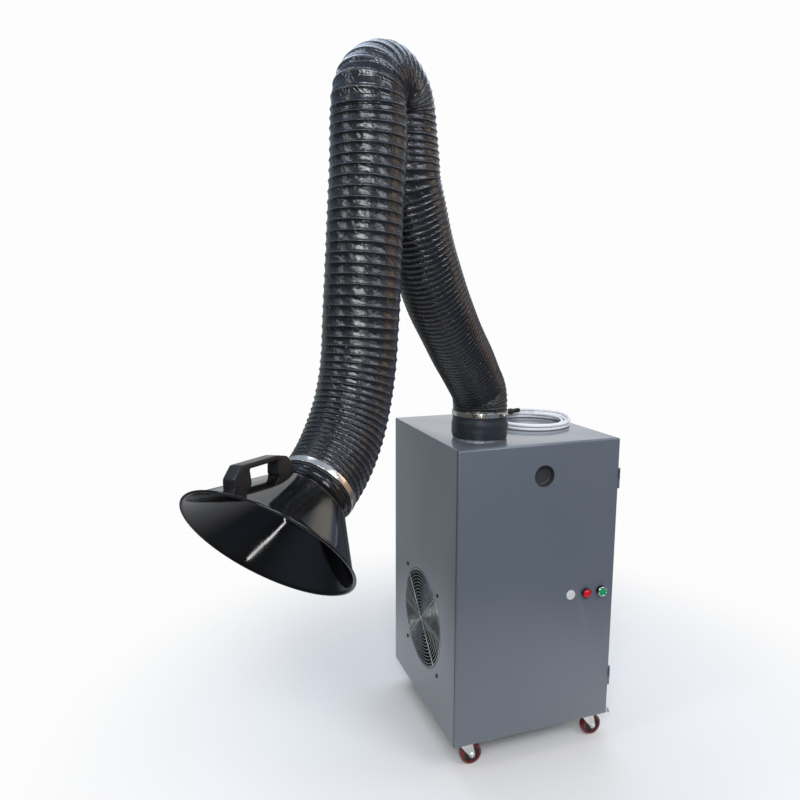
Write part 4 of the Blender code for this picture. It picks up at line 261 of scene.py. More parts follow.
def frame_on(origin, z_axis, x_hint):
    """A matrix at a point with its z axis along one direction and x close to another."""
    z_dir = Vector(z_axis).normalized()
    y_dir = z_dir.cross(Vector(x_hint)).normalized()
    x_dir = y_dir.cross(z_dir)
    turn = Matrix((x_dir, y_dir, z_dir)).transposed().to_4x4()
    return Matrix.Translation(Vector(origin)) @ turn


def in_scene(name, data):
    """A new object in the scene."""
    thing = bpy.data.objects.new(name, data)
    bpy.context.scene.collection.objects.link(thing)
    return thing


def put(name, data, material, body, replaces=(), matrix=None):
    """Put a mesh or curve in the scene, riding on its body."""
    if matrix is not None:
        data.transform(matrix)
    data.name = name
    thing = in_scene(name, data)
    data.materials.append(material)
    if body:
        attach(thing, body)
    if replaces:
        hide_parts(*replaces)
    return thing


def baked(thing):
    """The mesh that a helper object shows; the object itself goes."""
    bpy.context.view_layer.update()
    data = bpy.data.meshes.new_from_object(thing.evaluated_get(bpy.context.evaluated_depsgraph_get()))
    bpy.data.objects.remove(thing)
    return data


def smooth(data, angle=35.0):
    """Shade a mesh smooth but for its real edges."""
    data.shade_smooth()
    data.set_sharp_from_angle(angle=radians(angle))
    return data


def outward(data, weld=0.0):
    """Turn a mesh's faces outwards, after a weld of its double points."""
    shape = bmesh.new()
    shape.from_mesh(data)
    if weld:
        bmesh.ops.remove_doubles(shape, verts=shape.verts, dist=weld)
    bmesh.ops.recalc_face_normals(shape, faces=shape.faces)
    shape.to_mesh(data)
    shape.free()
    return data


def mesh_from(vertices, faces, angle=35.0, weld=0.0):
    """A smooth mesh of vertices and faces."""
    data = bpy.data.meshes.new("mesh")
    data.from_pydata([tuple(v) for v in vertices], [], faces)
    return smooth(outward(data, weld), angle)


def angles(sides):
    """The angles of a full turn, in equal steps."""
    return [2 * pi * step / sides for step in range(sides)]


def ring_faces(rows, sides, closed=False):
    """Quads between rings of points that were listed one after another."""
    faces = []
    last = rows if closed else rows - 1
    for row in range(last):
        near = row * sides
        far = ((row + 1) % rows) * sides
        for step in range(sides):
            after = (step + 1) % sides
            faces.append((near + step, near + after, far + after, far + step))
    return faces


def turned(profile, sides=64, angle=30.0, closed=True):
    """A turned mesh: (radius, height) points, down the outside and up the inside, spun round z.

    An open profile starts and ends on the axis.
    """
    around = [(cos(a), sin(a)) for a in angles(sides)]
    vertices = [(radius * x, radius * y, height) for radius, height in profile for x, y in around]
    return mesh_from(vertices, ring_faces(len(profile), sides, closed), angle, 1e-7)


def rounded(profile, radius, steps=4, closed=False, least_share=2.01):
    """Round the corners of a line of (x, y) points, each within its share of the sides next to it."""
    count = len(profile)
    out = []
    for index in range(count) if closed else range(1, count - 1):
        a, b, c = (Vector(profile[(index + shift) % count]) for shift in (-1, 0, 1))
        reach = min(radius, (a - b).length / least_share, (c - b).length / least_share)
        start = b + (a - b).normalized() * reach
        end = b + (c - b).normalized() * reach
        for step in range(steps + 1):
            t = step / steps
            out.append(tuple(start * (1 - t) ** 2 + b * 2 * t * (1 - t) + end * t * t))
    return out if closed else [profile[0], *out, profile[-1]]


def as_mesh(shape):
    """The mesh of a bmesh, which is freed."""
    data = bpy.data.meshes.new("mesh")
    shape.to_mesh(data)
    shape.free()
    return smooth(data, 40.0)


def box_mesh(low, high, edge=0.0):
    """A box with eased edges."""
    low, high = Vector(low), Vector(high)
    shape = bmesh.new()
    bmesh.ops.create_cube(shape, size=1.0)
    bmesh.ops.scale(shape, vec=high - low, verts=shape.verts)
    bmesh.ops.translate(shape, vec=(high + low) / 2, verts=shape.verts)
    if edge:
        bmesh.ops.bevel(shape, geom=shape.edges[:], offset=edge, segments=3, profile=0.5, affect="EDGES")
    return as_mesh(shape)


def rod_mesh(radius, start, end, sides=32, ease=0.0):
    """A round bar between two points, with eased ends."""
    start, end = Vector(start), Vector(end)
    length = (end - start).length
    profile = [(0.0, length), (radius - ease, length), (radius, length - ease), (radius, ease)]
    profile += [(radius - ease, 0.0), (0.0, 0.0)]
    data = turned(profile, sides, closed=False)
    hint = X_AXIS if abs((end - start).normalized().x) < 0.9 else Y_AXIS
    data.transform(frame_on(start, end - start, hint))
    return data


def hole_tool(radius, centre, axis, sides):
    """A rod through a sheet, for a round hole."""
    overrun = axis * 0.01
    return rod_mesh(radius, centre - overrun, centre + overrun, sides)


def plate_mesh(outlines, thickness, edge=0.0):
    """A flat outline with holes, extruded both ways from the xy plane, its edges eased."""
    curve = bpy.data.curves.new("plate", "CURVE")
    curve.dimensions = "2D"
    curve.fill_mode = "BOTH"
    curve.extrude = max(thickness / 2 - edge, 0.0)
    curve.bevel_depth = edge
    curve.bevel_resolution = 2
    curve.offset = -edge
    for outline in outlines:
        spline = curve.splines.new("POLY")
        spline.points.add(len(outline) - 1)
        for point, (x, y) in zip(spline.points, outline):
            point.co = (x, y, 0.0, 1.0)
        spline.use_cyclic_u = True
    return smooth(outward(baked(in_scene("plate", curve)), 1e-6), 40.0)


def merged(*meshes):
    """One mesh of several."""
    shape = bmesh.new()
    for data in meshes:
        shape.from_mesh(data)
    return as_mesh(shape)


def cut_mesh(data, tools):
    """A mesh with the tools taken out of it; the tools are meshes in the same space."""
    thing = in_scene("to_cut", data)
    helpers = [in_scene("tool", tool_data) for tool_data in tools]
    for tool in helpers:
        change = thing.modifiers.new("cut", "BOOLEAN")
        change.operation = "DIFFERENCE"
        change.solver = "EXACT"
        change.object = tool
    out = baked(thing)
    for tool in helpers:
        bpy.data.objects.remove(tool)
    out.materials.clear()
    return smooth(out, 30.0)


# Cabinet: finer copies of the wrap and the door, with soft bends

def folded_sheet(faces, bend, towards):
    """A sheet with soft bends, from quads that share edges; its outside looks towards a direction."""
    shape = bmesh.new()
    found = {}
    for corners in faces:
        ring = []
        for corner in corners:
            key = tuple(round(c, 6) for c in corner)
            if key not in found:
                found[key] = shape.verts.new(corner)
            ring.append(found[key])
        shape.faces.new(ring)
    bmesh.ops.recalc_face_normals(shape, faces=shape.faces)
    data = bpy.data.meshes.new("sheet")
    shape.to_mesh(data)
    shape.free()
    largest = max(data.polygons, key=lambda face: face.area * abs(face.normal.dot(towards)))
    if largest.normal.dot(towards) < 0:
        data.flip_normals()
    thing = in_scene("sheet", data)
    soft = thing.modifiers.new("bends", "BEVEL")
    soft.width = bend
    soft.segments = 5
    soft.limit_method = "ANGLE"
    soft.angle_limit = radians(35.0)
    wall = thing.modifiers.new("wall", "SOLIDIFY")
    wall.thickness = SHEET
    wall.offset = -1.0
    wall.use_even_offset = True
    return baked(thing)


outer = [(-HALF_X, 0.0), (-HALF_X, HEIGHT), (HALF_X, HEIGHT), (HALF_X, 0.0)]
inner = [(x * (1 - FLANGE / HALF_X), max(z - FLANGE, 0.0)) for x, z in outer]
quads = []
for (x0, z0), (x1, z1), (u0, w0), (u1, w1) in zip(outer, outer[1:], inner, inner[1:]):
    quads.append([(x0, HALF_Y, z0), (x1, HALF_Y, z1), (x1, WRAP_FRONT, z1), (x0, WRAP_FRONT, z0)])
    quads.append([(x0, WRAP_FRONT, z0), (x1, WRAP_FRONT, z1), (u1, WRAP_FRONT, w1), (u0, WRAP_FRONT, w0)])
holes = [hole_tool(FAN_OPENING, FAN, X_AXIS, 96), hole_tool(INLET_HOLE, INLET + Z_AXIS * HEIGHT, Z_AXIS, 72)]
wrap = cut_mesh(folded_sheet(quads, 0.003, Z_AXIS), holes)
put("cabinet_wrap_skin", wrap, POWDER, "cabinet", ["cabinet_wrap"])

# The matrix of each control on the door's face, its z pointing out
CONTROLS = {
    name: frame_on((x, -HALF_Y, CONTROL_HEIGHT), -Y_AXIS, X_AXIS)
    for name, x in (("lamp", 0.106), ("stop", 0.156), ("start", 0.206))
}
DOOR_RETURN = 0.0046
corners = [(-HALF_X, 0.0), (HALF_X, 0.0), (HALF_X, HEIGHT), (-HALF_X, HEIGHT)]
face = [Vector((x, -HALF_Y, z)) for x, z in corners]
back = Y_AXIS * DOOR_RETURN
quads = [face] + [[a, b, b + back, a + back] for a, b in zip(face, face[1:] + face[:1])]
holes = [hole_tool(FINGER_OPENING, FINGER_HOLE, Y_AXIS, 72)]
holes += [hole_tool(BUTTON_HOLE, place.translation, Y_AXIS, 32) for place in CONTROLS.values()]
door = cut_mesh(folded_sheet(quads, 0.0042, -Y_AXIS), holes)
put("front_door_skin", door, POWDER, "door", ["front_door"])

inset = 0.0006
rim = [(x * (1 - inset / HALF_X), min(max(z, inset), HEIGHT - inset)) for x, z in corners]
inside = [(x * 0.955, z + (0.011 if z < HEIGHT / 2 else -0.011)) for x, z in rim]
gasket_place = frame_on((0.0, -HALF_Y + DOOR_RETURN + 0.0020, 0.0), -Y_AXIS, X_AXIS)
put("door_gasket", plate_mesh([rim, inside], 0.0036), FOAM, "door", (), gasket_place)

cup = [(0.0, -0.0200), *rounded([(0.0210, -0.0200), (0.0292, -0.0190), (0.0300, 0.0003)], 0.006)]
cup += [(0.0304, 0.0004), (0.0312, -0.0016), (0.0312, -0.0180), (0.0230, -0.0210), (0.0, -0.0210)]
cup_place = frame_on(FINGER_HOLE, -Y_AXIS, X_AXIS)
put("finger_cup", turned(cup, 72, 50.0, closed=False), CUP_GREY, "door", (), cup_place)

KNUCKLE = 0.030
for tag, height in (("low", HEIGHT * 0.14), ("high", HEIGHT * 0.86)):
    for side, body, base in ((1, "cabinet", height - KNUCKLE), (-1, "door", height + GAP)):
        low, high = base + 0.0005, base + KNUCKLE - 0.0005
        edge_y = WRAP_FRONT if side > 0 else -HALF_Y + 0.008
        web_y = sorted((HINGE.y + side * 0.0012, edge_y + side * 0.012))
        barrel = rod_mesh(0.0038, HINGE + Z_AXIS * base, HINGE + Z_AXIS * (base + KNUCKLE), 24, 0.0006)
        web = box_mesh((HALF_X - 0.0004, web_y[0], low), (HALF_X + 0.0016, web_y[1], high))
        arm = box_mesh((HALF_X, HINGE.y - 0.0010, low), (HINGE.x, HINGE.y + 0.0010, high))
        put(f"hinge_{body}_{tag}", merged(barrel, web, arm), POWDER, body)


# Hose: ribs on a bent line

def heading_vector(heading):
    """The direction in the arm's plane at an angle above the horizontal."""
    return ARM_DIRECTION * cos(heading) + Z_AXIS * sin(heading)


def hose_line(distance):
    """The point and the heading of the hose's line, a distance along from the cuff."""
    reach, height, heading = 0.0, HOSE_START, radians(90.0)
    left = distance
    for length, end_degrees in zip(RUN_LENGTHS, RUN_HEADINGS):
        turn = (radians(end_degrees) - heading) / length
        step = min(left, length)
        if abs(turn) < 1e-5 or step < 0:
            reach += step * cos(heading)
            height += step * sin(heading)
        else:
            after = heading + turn * step
            reach += (sin(after) - sin(heading)) / turn
            height += (cos(heading) - cos(after)) / turn
            heading = after
        left -= step
        if left <= 0:
            break
    else:
        # Past the last run the line goes straight on.
        reach += left * cos(heading)
        height += left * sin(heading)
    return INLET + ARM_DIRECTION * reach + Z_AXIS * (HEIGHT + height), heading


def ease(value, start, end):
    """A smooth step from 0 at the start to 1 at the end."""
    t = min(max((value - start) / (end - start), 0.0), 1.0)
    return t * t * (3 - 2 * t)


def hose_pinch(distance):
    """How much narrower the hose is where it comes up to the fold."""
    return 0.0070 * ease(distance, 0.73, 0.86) * (1 - ease(distance, 0.99, 1.13))


def hose_lean(distance):
    """How far the hose slumps inwards below the fold."""
    return 0.0100 * ease(distance, 0.76, 0.87) * (1 - ease(distance, 0.92, 1.04))


FOLD_RADIUS = (FOLD_END - FOLD_START) / pi
FOLD_REACH = (hose_line(FOLD_START)[0] - INLET).dot(ARM_DIRECTION) + FOLD_RADIUS


def inner_room(distance, centre, heading):
    """How far the hose may reach to the inside of the fold, where its two limbs press together."""
    if FOLD_START <= distance <= FOLD_END:
        return FOLD_RADIUS - 0.0006
    away = abs((centre - INLET).dot(ARM_DIRECTION) - FOLD_REACH)
    return away / max(abs(sin(heading)), 0.2) - 0.0006


# The pitch of the ribs along the hose, and from it the count of ribs at each place
PITCH_PLACES = (0.0, 0.60, 0.80, 0.90, 1.00, 1.07, 1.13, 1.25, 1.50, 1.64, HOSE_LENGTH)
PITCHES = (0.0120, 0.0128, 0.0138, 0.0134, 0.0140, 0.0168, 0.0204, 0.0204, 0.0196, 0.0148, 0.0125)
FINE = np.linspace(0.0, HOSE_LENGTH, 4000)
PHASE = np.concatenate([[0.0], np.cumsum(np.diff(FINE) / np.interp(FINE[:-1], PITCH_PLACES, PITCHES))])
RIB_OFFSETS = (0.0, 0.045, 0.095, 0.19, 0.30, 0.41, 0.52, 0.64, 0.77, 0.90, 0.955)
HOSE_SIDES = 192
TEETH = 47


def band_depth(theta, rib, share, hangs_down, pitch):
    """How deep the fabric lies between two cords: it sags to a jagged valley below the upper cord."""
    below = share if hangs_down else 1 - share
    wander = 0.9 * np.sin(theta * 5 + rib * 1.9) + 0.6 * np.sin(theta * 11 - rib * 2.7)
    turn = TEETH * theta / (2 * pi) + wander * 0.55 + rib * 0.37 - below * 0.55
    tooth = np.abs(2 * (turn - np.floor(turn + 0.5)))
    gate = 0.5 + 0.5 * np.sin(theta * 7 + rib * 3.3 + 2.0 * np.sin(theta * 3 + rib * 0.7))
    valley = 0.56 - (0.10 + 0.26 * gate) * tooth
    falling = np.clip(below / valley, 0.0, 1.0)
    rising = np.clip((below - valley) / (1 - valley), 0.0, 1.0)
    sag = np.where(below < valley, np.sin(falling * pi / 2), 1 - rising ** 1.25)
    return sag * (0.0009 + 0.0032 * pitch / 0.1) + (tooth - 0.5) * gate * 0.0011 * sin(pi * share)


def hose_stations(start, end):
    """Distances along the hose that catch each rib's shape between two places."""
    first = np.interp(start, FINE, PHASE)
    last = np.interp(end, FINE, PHASE)
    phases = [n + offset for n in range(int(first) - 1, int(last) + 2) for offset in RIB_OFFSETS]
    inside = [p for p in phases if first + 0.02 < p < last - 0.02]
    distances = [float(np.interp(p, PHASE, FINE)) for p in inside]
    return [start, *distances, end]


def hose_ring(distance, sunk=0.0):
    """The points round the hose at a distance along it."""
    centre, heading = hose_line(distance)
    upper = heading_vector(heading + pi / 2)
    phase = float(np.interp(distance, FINE, PHASE))
    pitch = float(np.interp(distance, PITCH_PLACES, PITCHES))
    rib = int(phase)
    share = phase - rib
    theta = np.linspace(0.0, 2 * pi, HOSE_SIDES, endpoint=False)
    near = min(share, 1 - share) * pitch
    depth = band_depth(theta, rib, share, distance > ELBOW, pitch)
    radius = HOSE_RADIUS - hose_pinch(distance) - sunk - depth
    radius = radius - 0.0009 * (1.0 - exp(-((near / 0.0016) ** 2)))
    ovality = 0.0006 * np.sin(2 * theta + rib * 0.35) + 0.0004 * np.sin(3 * theta - rib * 0.5)
    radii = radius + ovality
    outward = radii * np.cos(theta) - hose_lean(distance)
    outward = np.maximum(outward, -inner_room(distance, centre, heading))
    across = np.outer(radii * np.sin(theta), np.array(ARM_NORMAL))
    return np.array(centre) + np.outer(outward, np.array(upper)) + across


def hose_mesh(start, end, lip_before=0.0, lip_after=0.0):
    """One length of hose; a lip runs on, sunk, under its neighbour."""
    places = [(d, 0.0) for d in hose_stations(start, end)]
    if lip_before:
        lip = [(start - lip_before, 0.0022), (start - lip_before / 2, 0.0018), (start - 0.0004, 0.0014)]
        places = lip + places
    if lip_after:
        places += [(end + 0.0004, 0.0014), (end + lip_after / 2, 0.0018), (end + lip_after, 0.0022)]
    vertices = np.concatenate([hose_ring(distance, sunk) for distance, sunk in places])
    data = bpy.data.meshes.new("hose")
    faces = [tuple(reversed(face)) for face in ring_faces(len(places), HOSE_SIDES)]
    data.from_pydata(vertices.tolist(), [], faces)

    # UV in metres, round the hose and along it; the last face of a ring ends at the full girth
    loops = np.zeros(len(data.loops), dtype=np.int64)
    data.loops.foreach_get("vertex_index", loops)
    steps = (loops % HOSE_SIDES).reshape(-1, 4)
    shares = steps / HOSE_SIDES
    wraps = (steps.max(axis=1) - steps.min(axis=1)) > 1
    shares[wraps] = np.where(shares[wraps] == 0.0, 1.0, shares[wraps])
    distances = np.array([distance for distance, _ in places])
    uv = np.stack([shares.reshape(-1) * 2 * pi * HOSE_RADIUS, distances[loops // HOSE_SIDES]], axis=1)
    data.uv_layers.new(name="UVMap").data.foreach_set("uv", uv.reshape(-1))

    # The cords are painted paler: a painted highlight that stands in for the light their raised beads catch
    phases = np.interp(distances, FINE, PHASE)
    from_cord = np.abs(phases - np.round(phases)) * np.interp(distances, PITCH_PLACES, PITCHES)
    values = np.repeat(np.exp(-((from_cord / 0.0011) ** 2)), HOSE_SIDES)
    data.attributes.new("painted_cord_highlight", "FLOAT", "POINT").data.foreach_set("value", values)
    data.update()
    data.shade_smooth()
    return data


FOLD_EASE = 0.040
TURN_START = FOLD_START - FOLD_EASE
TURN_END = FOLD_END + FOLD_EASE


def put_hose(name, replaced, body, *lengths):
    """Put one length of hose in the scene."""
    return put(name, hose_mesh(*lengths), HOSE, body, replaced)


def along(distance):
    """A point of the hose's line."""
    return tuple(hose_line(distance)[0])


def fold_piece(name, start, end, replaced):
    """A rib of the folded elbow, which covers its own share of the hose through the fold."""
    thing = put_hose(name, replaced, None, start, end, 0.007, 0.007)
    middle = (start + end) / 2
    centre, heading = hose_line(middle)
    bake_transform(thing)


shoulder = put_hose("hose_shoulder_skin", ["hose_shoulder_bend"], None, -0.0008, SHOULDER_END)
along(0.006)
along(0.088)
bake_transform(shoulder)
put_hose("hose_lower_skin", ["hose_lower"], "lower_arm", SHOULDER_END, TURN_START, 0.006)
FOLD_PIECES = 36
fold_places = [TURN_START + (TURN_END - TURN_START) * index / FOLD_PIECES for index in range(FOLD_PIECES + 1)]
for index, (start, end) in enumerate(zip(fold_places, fold_places[1:]), 1):
    fold_piece(f"hose_elbow_rib_{index:02d}", start, end, ["hose_elbow_bend"] if index == 1 else ())
put_hose("hose_upper_skin", ["hose_upper"], "upper_arm", TURN_END, WRIST_START, 0.0, 0.006)
wrist = put_hose("hose_wrist_skin", ["hose_wrist_bend"], None, WRIST_START, HOSE_LENGTH + 0.0012)
along(1.575)
along(1.752)
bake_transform(wrist)


# Cuff and clamps

def cuff_mesh():
    """The rubber sleeve below the clamp, creased and pulled unevenly over the inlet."""
    sides, rows = 128, 26
    vertices = []
    top = HOSE_START - GAP
    for wall in (0.0, 0.0024):
        for row in range(rows):
            low = 1 - row / (rows - 1)
            rounded_edge = 0.0006 if row == rows - 1 else 0.0
            for a in angles(sides):
                lift = 0.0034 * (1 + cos(a - radians(200.0))) / 2
                foot = 0.0022 + lift + 0.0007 * sin(3 * a + 1.0) + 0.0004 * sin(7 * a)
                height = HEIGHT + foot + (top - foot) * low
                bulge = 0.0032 * exp(-(((low - 0.34) / 0.26) ** 2))
                crease = 0.0007 * sin(16 * low + 1.3 * sin(a + 0.7)) * sin(pi * low)
                crease += 0.0006 * sin(5 * a + 6 * low) * exp(-(((low - 0.3) / 0.25) ** 2))
                gathers = 0.0005 * sin(34 * a + 2 * sin(3 * a)) * max(low - 0.62, 0.0) / 0.38
                radius = 0.0768 + bulge + crease + gathers - wall - rounded_edge
                vertices.append(INLET + Vector((radius * cos(a), radius * sin(a), height)))
    outside = ring_faces(rows, sides)
    under = rows * sides
    inside = [tuple(under + v for v in reversed(face)) for face in outside]
    rims = []
    last = (rows - 1) * sides
    for step in range(sides):
        after = (step + 1) % sides
        rims.append((after, step, under + step, under + after))
        rims.append((last + step, last + after, under + last + after, under + last + step))
    return mesh_from(vertices, outside + inside + rims, 60.0)


put("hose_cuff_skin", cuff_mesh(), CUFF, "arm_base", ["hose_cuff"])

HALF_BAND = 0.00625
BAND = 0.0016


def clamp(name, matrix, inner, angle, body):
    """A worm-drive band: the slotted band, its saddle and the screw."""
    outer = inner + BAND
    section = rounded([(outer, 0.0), (outer, -HALF_BAND), (inner, -HALF_BAND)], 0.0006)
    section += rounded([(inner, HALF_BAND), (outer, HALF_BAND), (outer, 0.0)], 0.0006)[:-1]
    put(f"{name}_band", turned(section, 128, 50.0), STEEL_BAND, body, [name], matrix)
    start = inner + 0.0010
    level = start + 0.0058

    def shaft(radius, low, high, sides, ease=0.0):
        return rod_mesh(radius, (level, low, 0.0), (level, high, 0.0), sides, ease)

    saddle = box_mesh((start, -0.013, -0.0072), (start + 0.0045, 0.013, 0.0072), 0.0012)
    cheeks = box_mesh((start + 0.001, -0.0118, -0.0058), (start + 0.0070, 0.0088, 0.0058), 0.0016)
    housing = merged(saddle, shaft(0.0052, -0.0125, 0.0095, 32, 0.0008), cheeks)
    screw = merged(shaft(0.0043, -0.019, -0.0124, 6, 0.0004), shaft(0.0048, -0.0146, -0.0134, 32))
    slots = [box_mesh((start + 0.0022, -0.0193, -0.0005), (start + 0.0094, -0.0187, 0.0005))]
    for step in range(-1, 16):
        slot = box_mesh((-0.0002, -0.0008, -0.0040), (0.0002, 0.0008, 0.0040))
        place = Matrix.Rotation(radians(11.5 + step * 2.4), 4, "Z") @ Matrix.Translation((outer, 0.0, 0.0))
        slot.transform(place @ Matrix.Rotation(0.12, 4, "X"))
        slots.append(slot)
    turn = matrix @ Matrix.Rotation(radians(angle), 4, "Z")
    for part, data, material in (
        ("housing", housing, STEEL_BAND), ("screw", screw, ZINC), ("slots", merged(*slots), SLOT_STEEL),
    ):
        put(f"{name}_{part}", data, material, body, (), turn)


clamp_height = HEIGHT + HOSE_START - GAP - HALF_BAND
clamp("cuff_clamp", Matrix.Translation(INLET + Z_AXIS * clamp_height), 0.0771, -58.0, "arm_base")


# Hood: its own axes are z along the neck to the mouth and x towards the handle

HOOD_LENGTH = 0.125
NECK = 0.0735
NECK_LENGTH = 0.0369
MOUTH = 0.159
TILT = radians(9.75)
HOOD_SIDES = 112


def hood_place():
    """The matrix at the start of the hood's cone."""
    end, heading = hose_line(HOSE_LENGTH)
    onward = heading_vector(heading)
    upper = heading_vector(heading + pi / 2)
    turn = radians(7.8)
    return frame_on(end + onward * NECK_LENGTH, onward, upper * cos(turn) + onward.cross(upper) * sin(turn))


def hood_ring(share, growth=0.0, lift=0.0, sides=HOOD_SIDES):
    """A ring of the hood's cone: share 0 is its neck and 1 its slanted mouth."""
    across = Vector((cos(TILT), 0.0, sin(TILT)))
    axis = Vector((-sin(TILT), 0.0, cos(TILT)))
    centre = Vector((0.015, 0.0, HOOD_LENGTH))
    ring = []
    for a in angles(sides):
        neck = Vector((cos(a), sin(a), 0.0)) * (NECK + growth)
        mouth = centre + (across * cos(a) + Y_AXIS * sin(a)) * (MOUTH + growth)
        ring.append(neck.lerp(mouth, share) + axis * lift)
    return ring


def level_ring(radius, height):
    """A level ring of the hood."""
    return [Vector((radius * cos(a), radius * sin(a), height)) for a in angles(HOOD_SIDES)]


HOOD = hood_place()
# The rolled rim: each ring's share along the cone, its growth and its lift
RIM = (
    (0.975, 0.0006), (0.985, 0.0020), (0.992, 0.0034), (1.0, 0.0042, -0.0006), (1.0, 0.0046, 0.0006),
    (1.0, 0.0042, 0.0018), (1.0, 0.0030, 0.0024), (1.0, 0.0012, 0.0023), (1.0, -0.0008, 0.0014),
    (0.995, -0.0024),
)
rings = [level_ring(0.0702, -0.0137), level_ring(0.0702, 0.0001), level_ring(0.0730, 0.0001)]
rings += [level_ring(0.0740, 0.0008)]
rings += [hood_ring(share) for share in (0.02, 0.08, 0.2, 0.35, 0.5, 0.65, 0.8, 0.9, 0.955)]
rings += [hood_ring(*place) for place in RIM]
rings += [hood_ring(share, -0.0026) for share in (0.97, 0.9, 0.8, 0.6, 0.4, 0.2, 0.05)]
rings += [level_ring(0.0688, 0.002), level_ring(0.0676, -0.0137)]
hood = mesh_from([place for ring in rings for place in ring], ring_faces(len(rings), HOOD_SIDES, True), 50.0)
put("hood_skin", hood, GLOSS_BLACK, "hood_head", ["hood"], HOOD)

# The handle's outline, as shares of the hood's length along it and out from its axis
HANDLE_SHARES = (
    (1.034, 1.120), (0.906, 1.285), (0.702, 1.340), (0.148, 1.009), (0.004, 0.866), (-0.010, 0.732),
    (0.060, 0.500), (0.300, 0.600), (0.287, 0.795), (0.168, 0.935), (0.622, 1.204), (0.709, 1.047),
    (0.760, 0.950),
)
outline = [(HOOD_LENGTH * far, HOOD_LENGTH * out) for far, out in HANDLE_SHARES]
handle = plate_mesh([rounded(outline, 0.0032, 5, True, 2.2)], 0.028, 0.0018)
handle.transform(frame_on(HOOD.translation, HOOD.to_3x3().col[1], HOOD.to_3x3().col[2]))
half_sides = HOOD_SIDES // 2
cone = [place for share in (-0.10, 1.25) for place in hood_ring(share, 0.0003, sides=half_sides)]
caps = [tuple(reversed(range(half_sides))), tuple(range(half_sides, HOOD_SIDES))]
trim = mesh_from(cone, ring_faces(2, half_sides) + caps)
trim.transform(HOOD)
put("hood_handle_skin", cut_mesh(handle, [trim]), SATIN_BLACK, "hood_head", ["hood_handle"])

collar = rounded([
    (NECK, -0.0005), (NECK + 0.0004, -0.0060), (NECK - 0.0010, -0.0075), (NECK + 0.0002, -0.0090),
    (NECK, -0.0172), (NECK - 0.003, -0.0172),
], 0.0010) + [(NECK - 0.003, -0.0003)]
collar = turned(collar, 128, 40.0)
put("hood_collar_skin", collar, GLOSS_BLACK, "hood_head", ["hood_collar"], HOOD)
band_place = HOOD @ Matrix.Translation((0.0, 0.0, -(NECK_LENGTH + 0.0175) / 2 - 0.0012))
clamp("hood_clamp", band_place, 0.0755, 150.0, "hood_neck")


# Fan guard and screws

GUARD_RADIUS, GUARD_MIDDLE = 0.1455, 0.0160
WIRE, RIM_WIRE = 0.00095, 0.0015
RINGS = 14
wires = []
for index in range(RINGS):
    radius = GUARD_MIDDLE + (GUARD_RADIUS - GUARD_MIDDLE) * index / (RINGS - 1)
    wire = WIRE if index < RINGS - 1 else RIM_WIRE
    wires.append(turned([(radius + wire * cos(a), -wire * sin(a)) for a in angles(10)], 96, 80.0))
# Each spoke's angle, its shift off the middle and its wire
SPOKES = ((0.0, 0.0040, 0.0013), (0.0, -0.0040, 0.0013), (45.0, 0.0, 0.0019), (135.0, 0.0, 0.0011))
for angle, shift, wire in SPOKES:
    reach = sqrt(GUARD_RADIUS ** 2 - shift ** 2)
    level = -WIRE - wire * 0.8
    bar = rod_mesh(wire, (-reach, shift, level), (reach, shift, level), 12)
    bar.transform(Matrix.Rotation(radians(angle), 4, "Z"))
    wires.append(bar)
guard_place = frame_on(FAN, X_AXIS, Y_AXIS)
put("fan_guard_skin", merged(*wires), GUARD_WIRE, "cabinet", ["fan_guard"], guard_place)

SCREW_REACH = 0.125
for index, (side, rise) in enumerate(((-1, 1), (1, 1), (-1, -1), (1, -1)), 1):
    spot = (-HALF_X, FAN.y + side * SCREW_REACH, FAN.z + rise * SCREW_REACH)
    spot = frame_on(spot, -X_AXIS, Y_AXIS)
    profile = [(0.0, 0.0034), (0.0022, 0.0034), (0.0045, 0.0028), (0.0060, 0.0016), (0.0065, 0.0004)]
    head = turned([*profile, (0.0065, GAP), (0.0, GAP)], 40, 50.0, closed=False)
    cross = [box_mesh((-u, -v, 0.0031), (u, v, 0.00345)) for u, v in ((0.0022, 0.0005), (0.0005, 0.0022))]
    put(f"fan_screw_head_{index}", head, SATIN_BLACK, "cabinet", [f"fan_screw_{index}"], spot)
    put(f"fan_screw_cross_{index}", merged(*cross), FOAM, "cabinet", (), spot)


# Controls

def put_turned(name, profile, angle, material, replaced=(), closed=True, body="door"):
    """Put a turned piece of a control on the door's face."""
    place = CONTROLS[name.split("_")[0]]
    put(name, turned(profile, 72, angle, closed), material, body, replaced, place)


def put_back(name):
    """Put a control's stem and its contact block behind the door."""
    stem = turned([(0.0, 0.0002), (0.0110, 0.0002), (0.0110, -0.008), (0.0, -0.008)], 32, closed=False)
    top = -SHEET - GAP
    block = box_mesh((-0.015, -0.015, top - 0.042), (0.015, 0.015, top), 0.001)
    put(f"{name}_back", merged(stem, block), SATIN_BLACK, "door", (), CONTROLS[name])


lens = [(0.0, 0.0034), (0.0080, 0.0032)]
lens += rounded([(0.0118, 0.0026), (0.0138, 0.0026), (0.0145, 0.0014), (0.0145, GAP)], 0.0005)
lens += [(0.0100, GAP), (0.0, GAP)]
put_turned("lamp_lens", lens, 30.0, WHITE, ["power_lamp"], closed=False)
put_back("lamp")

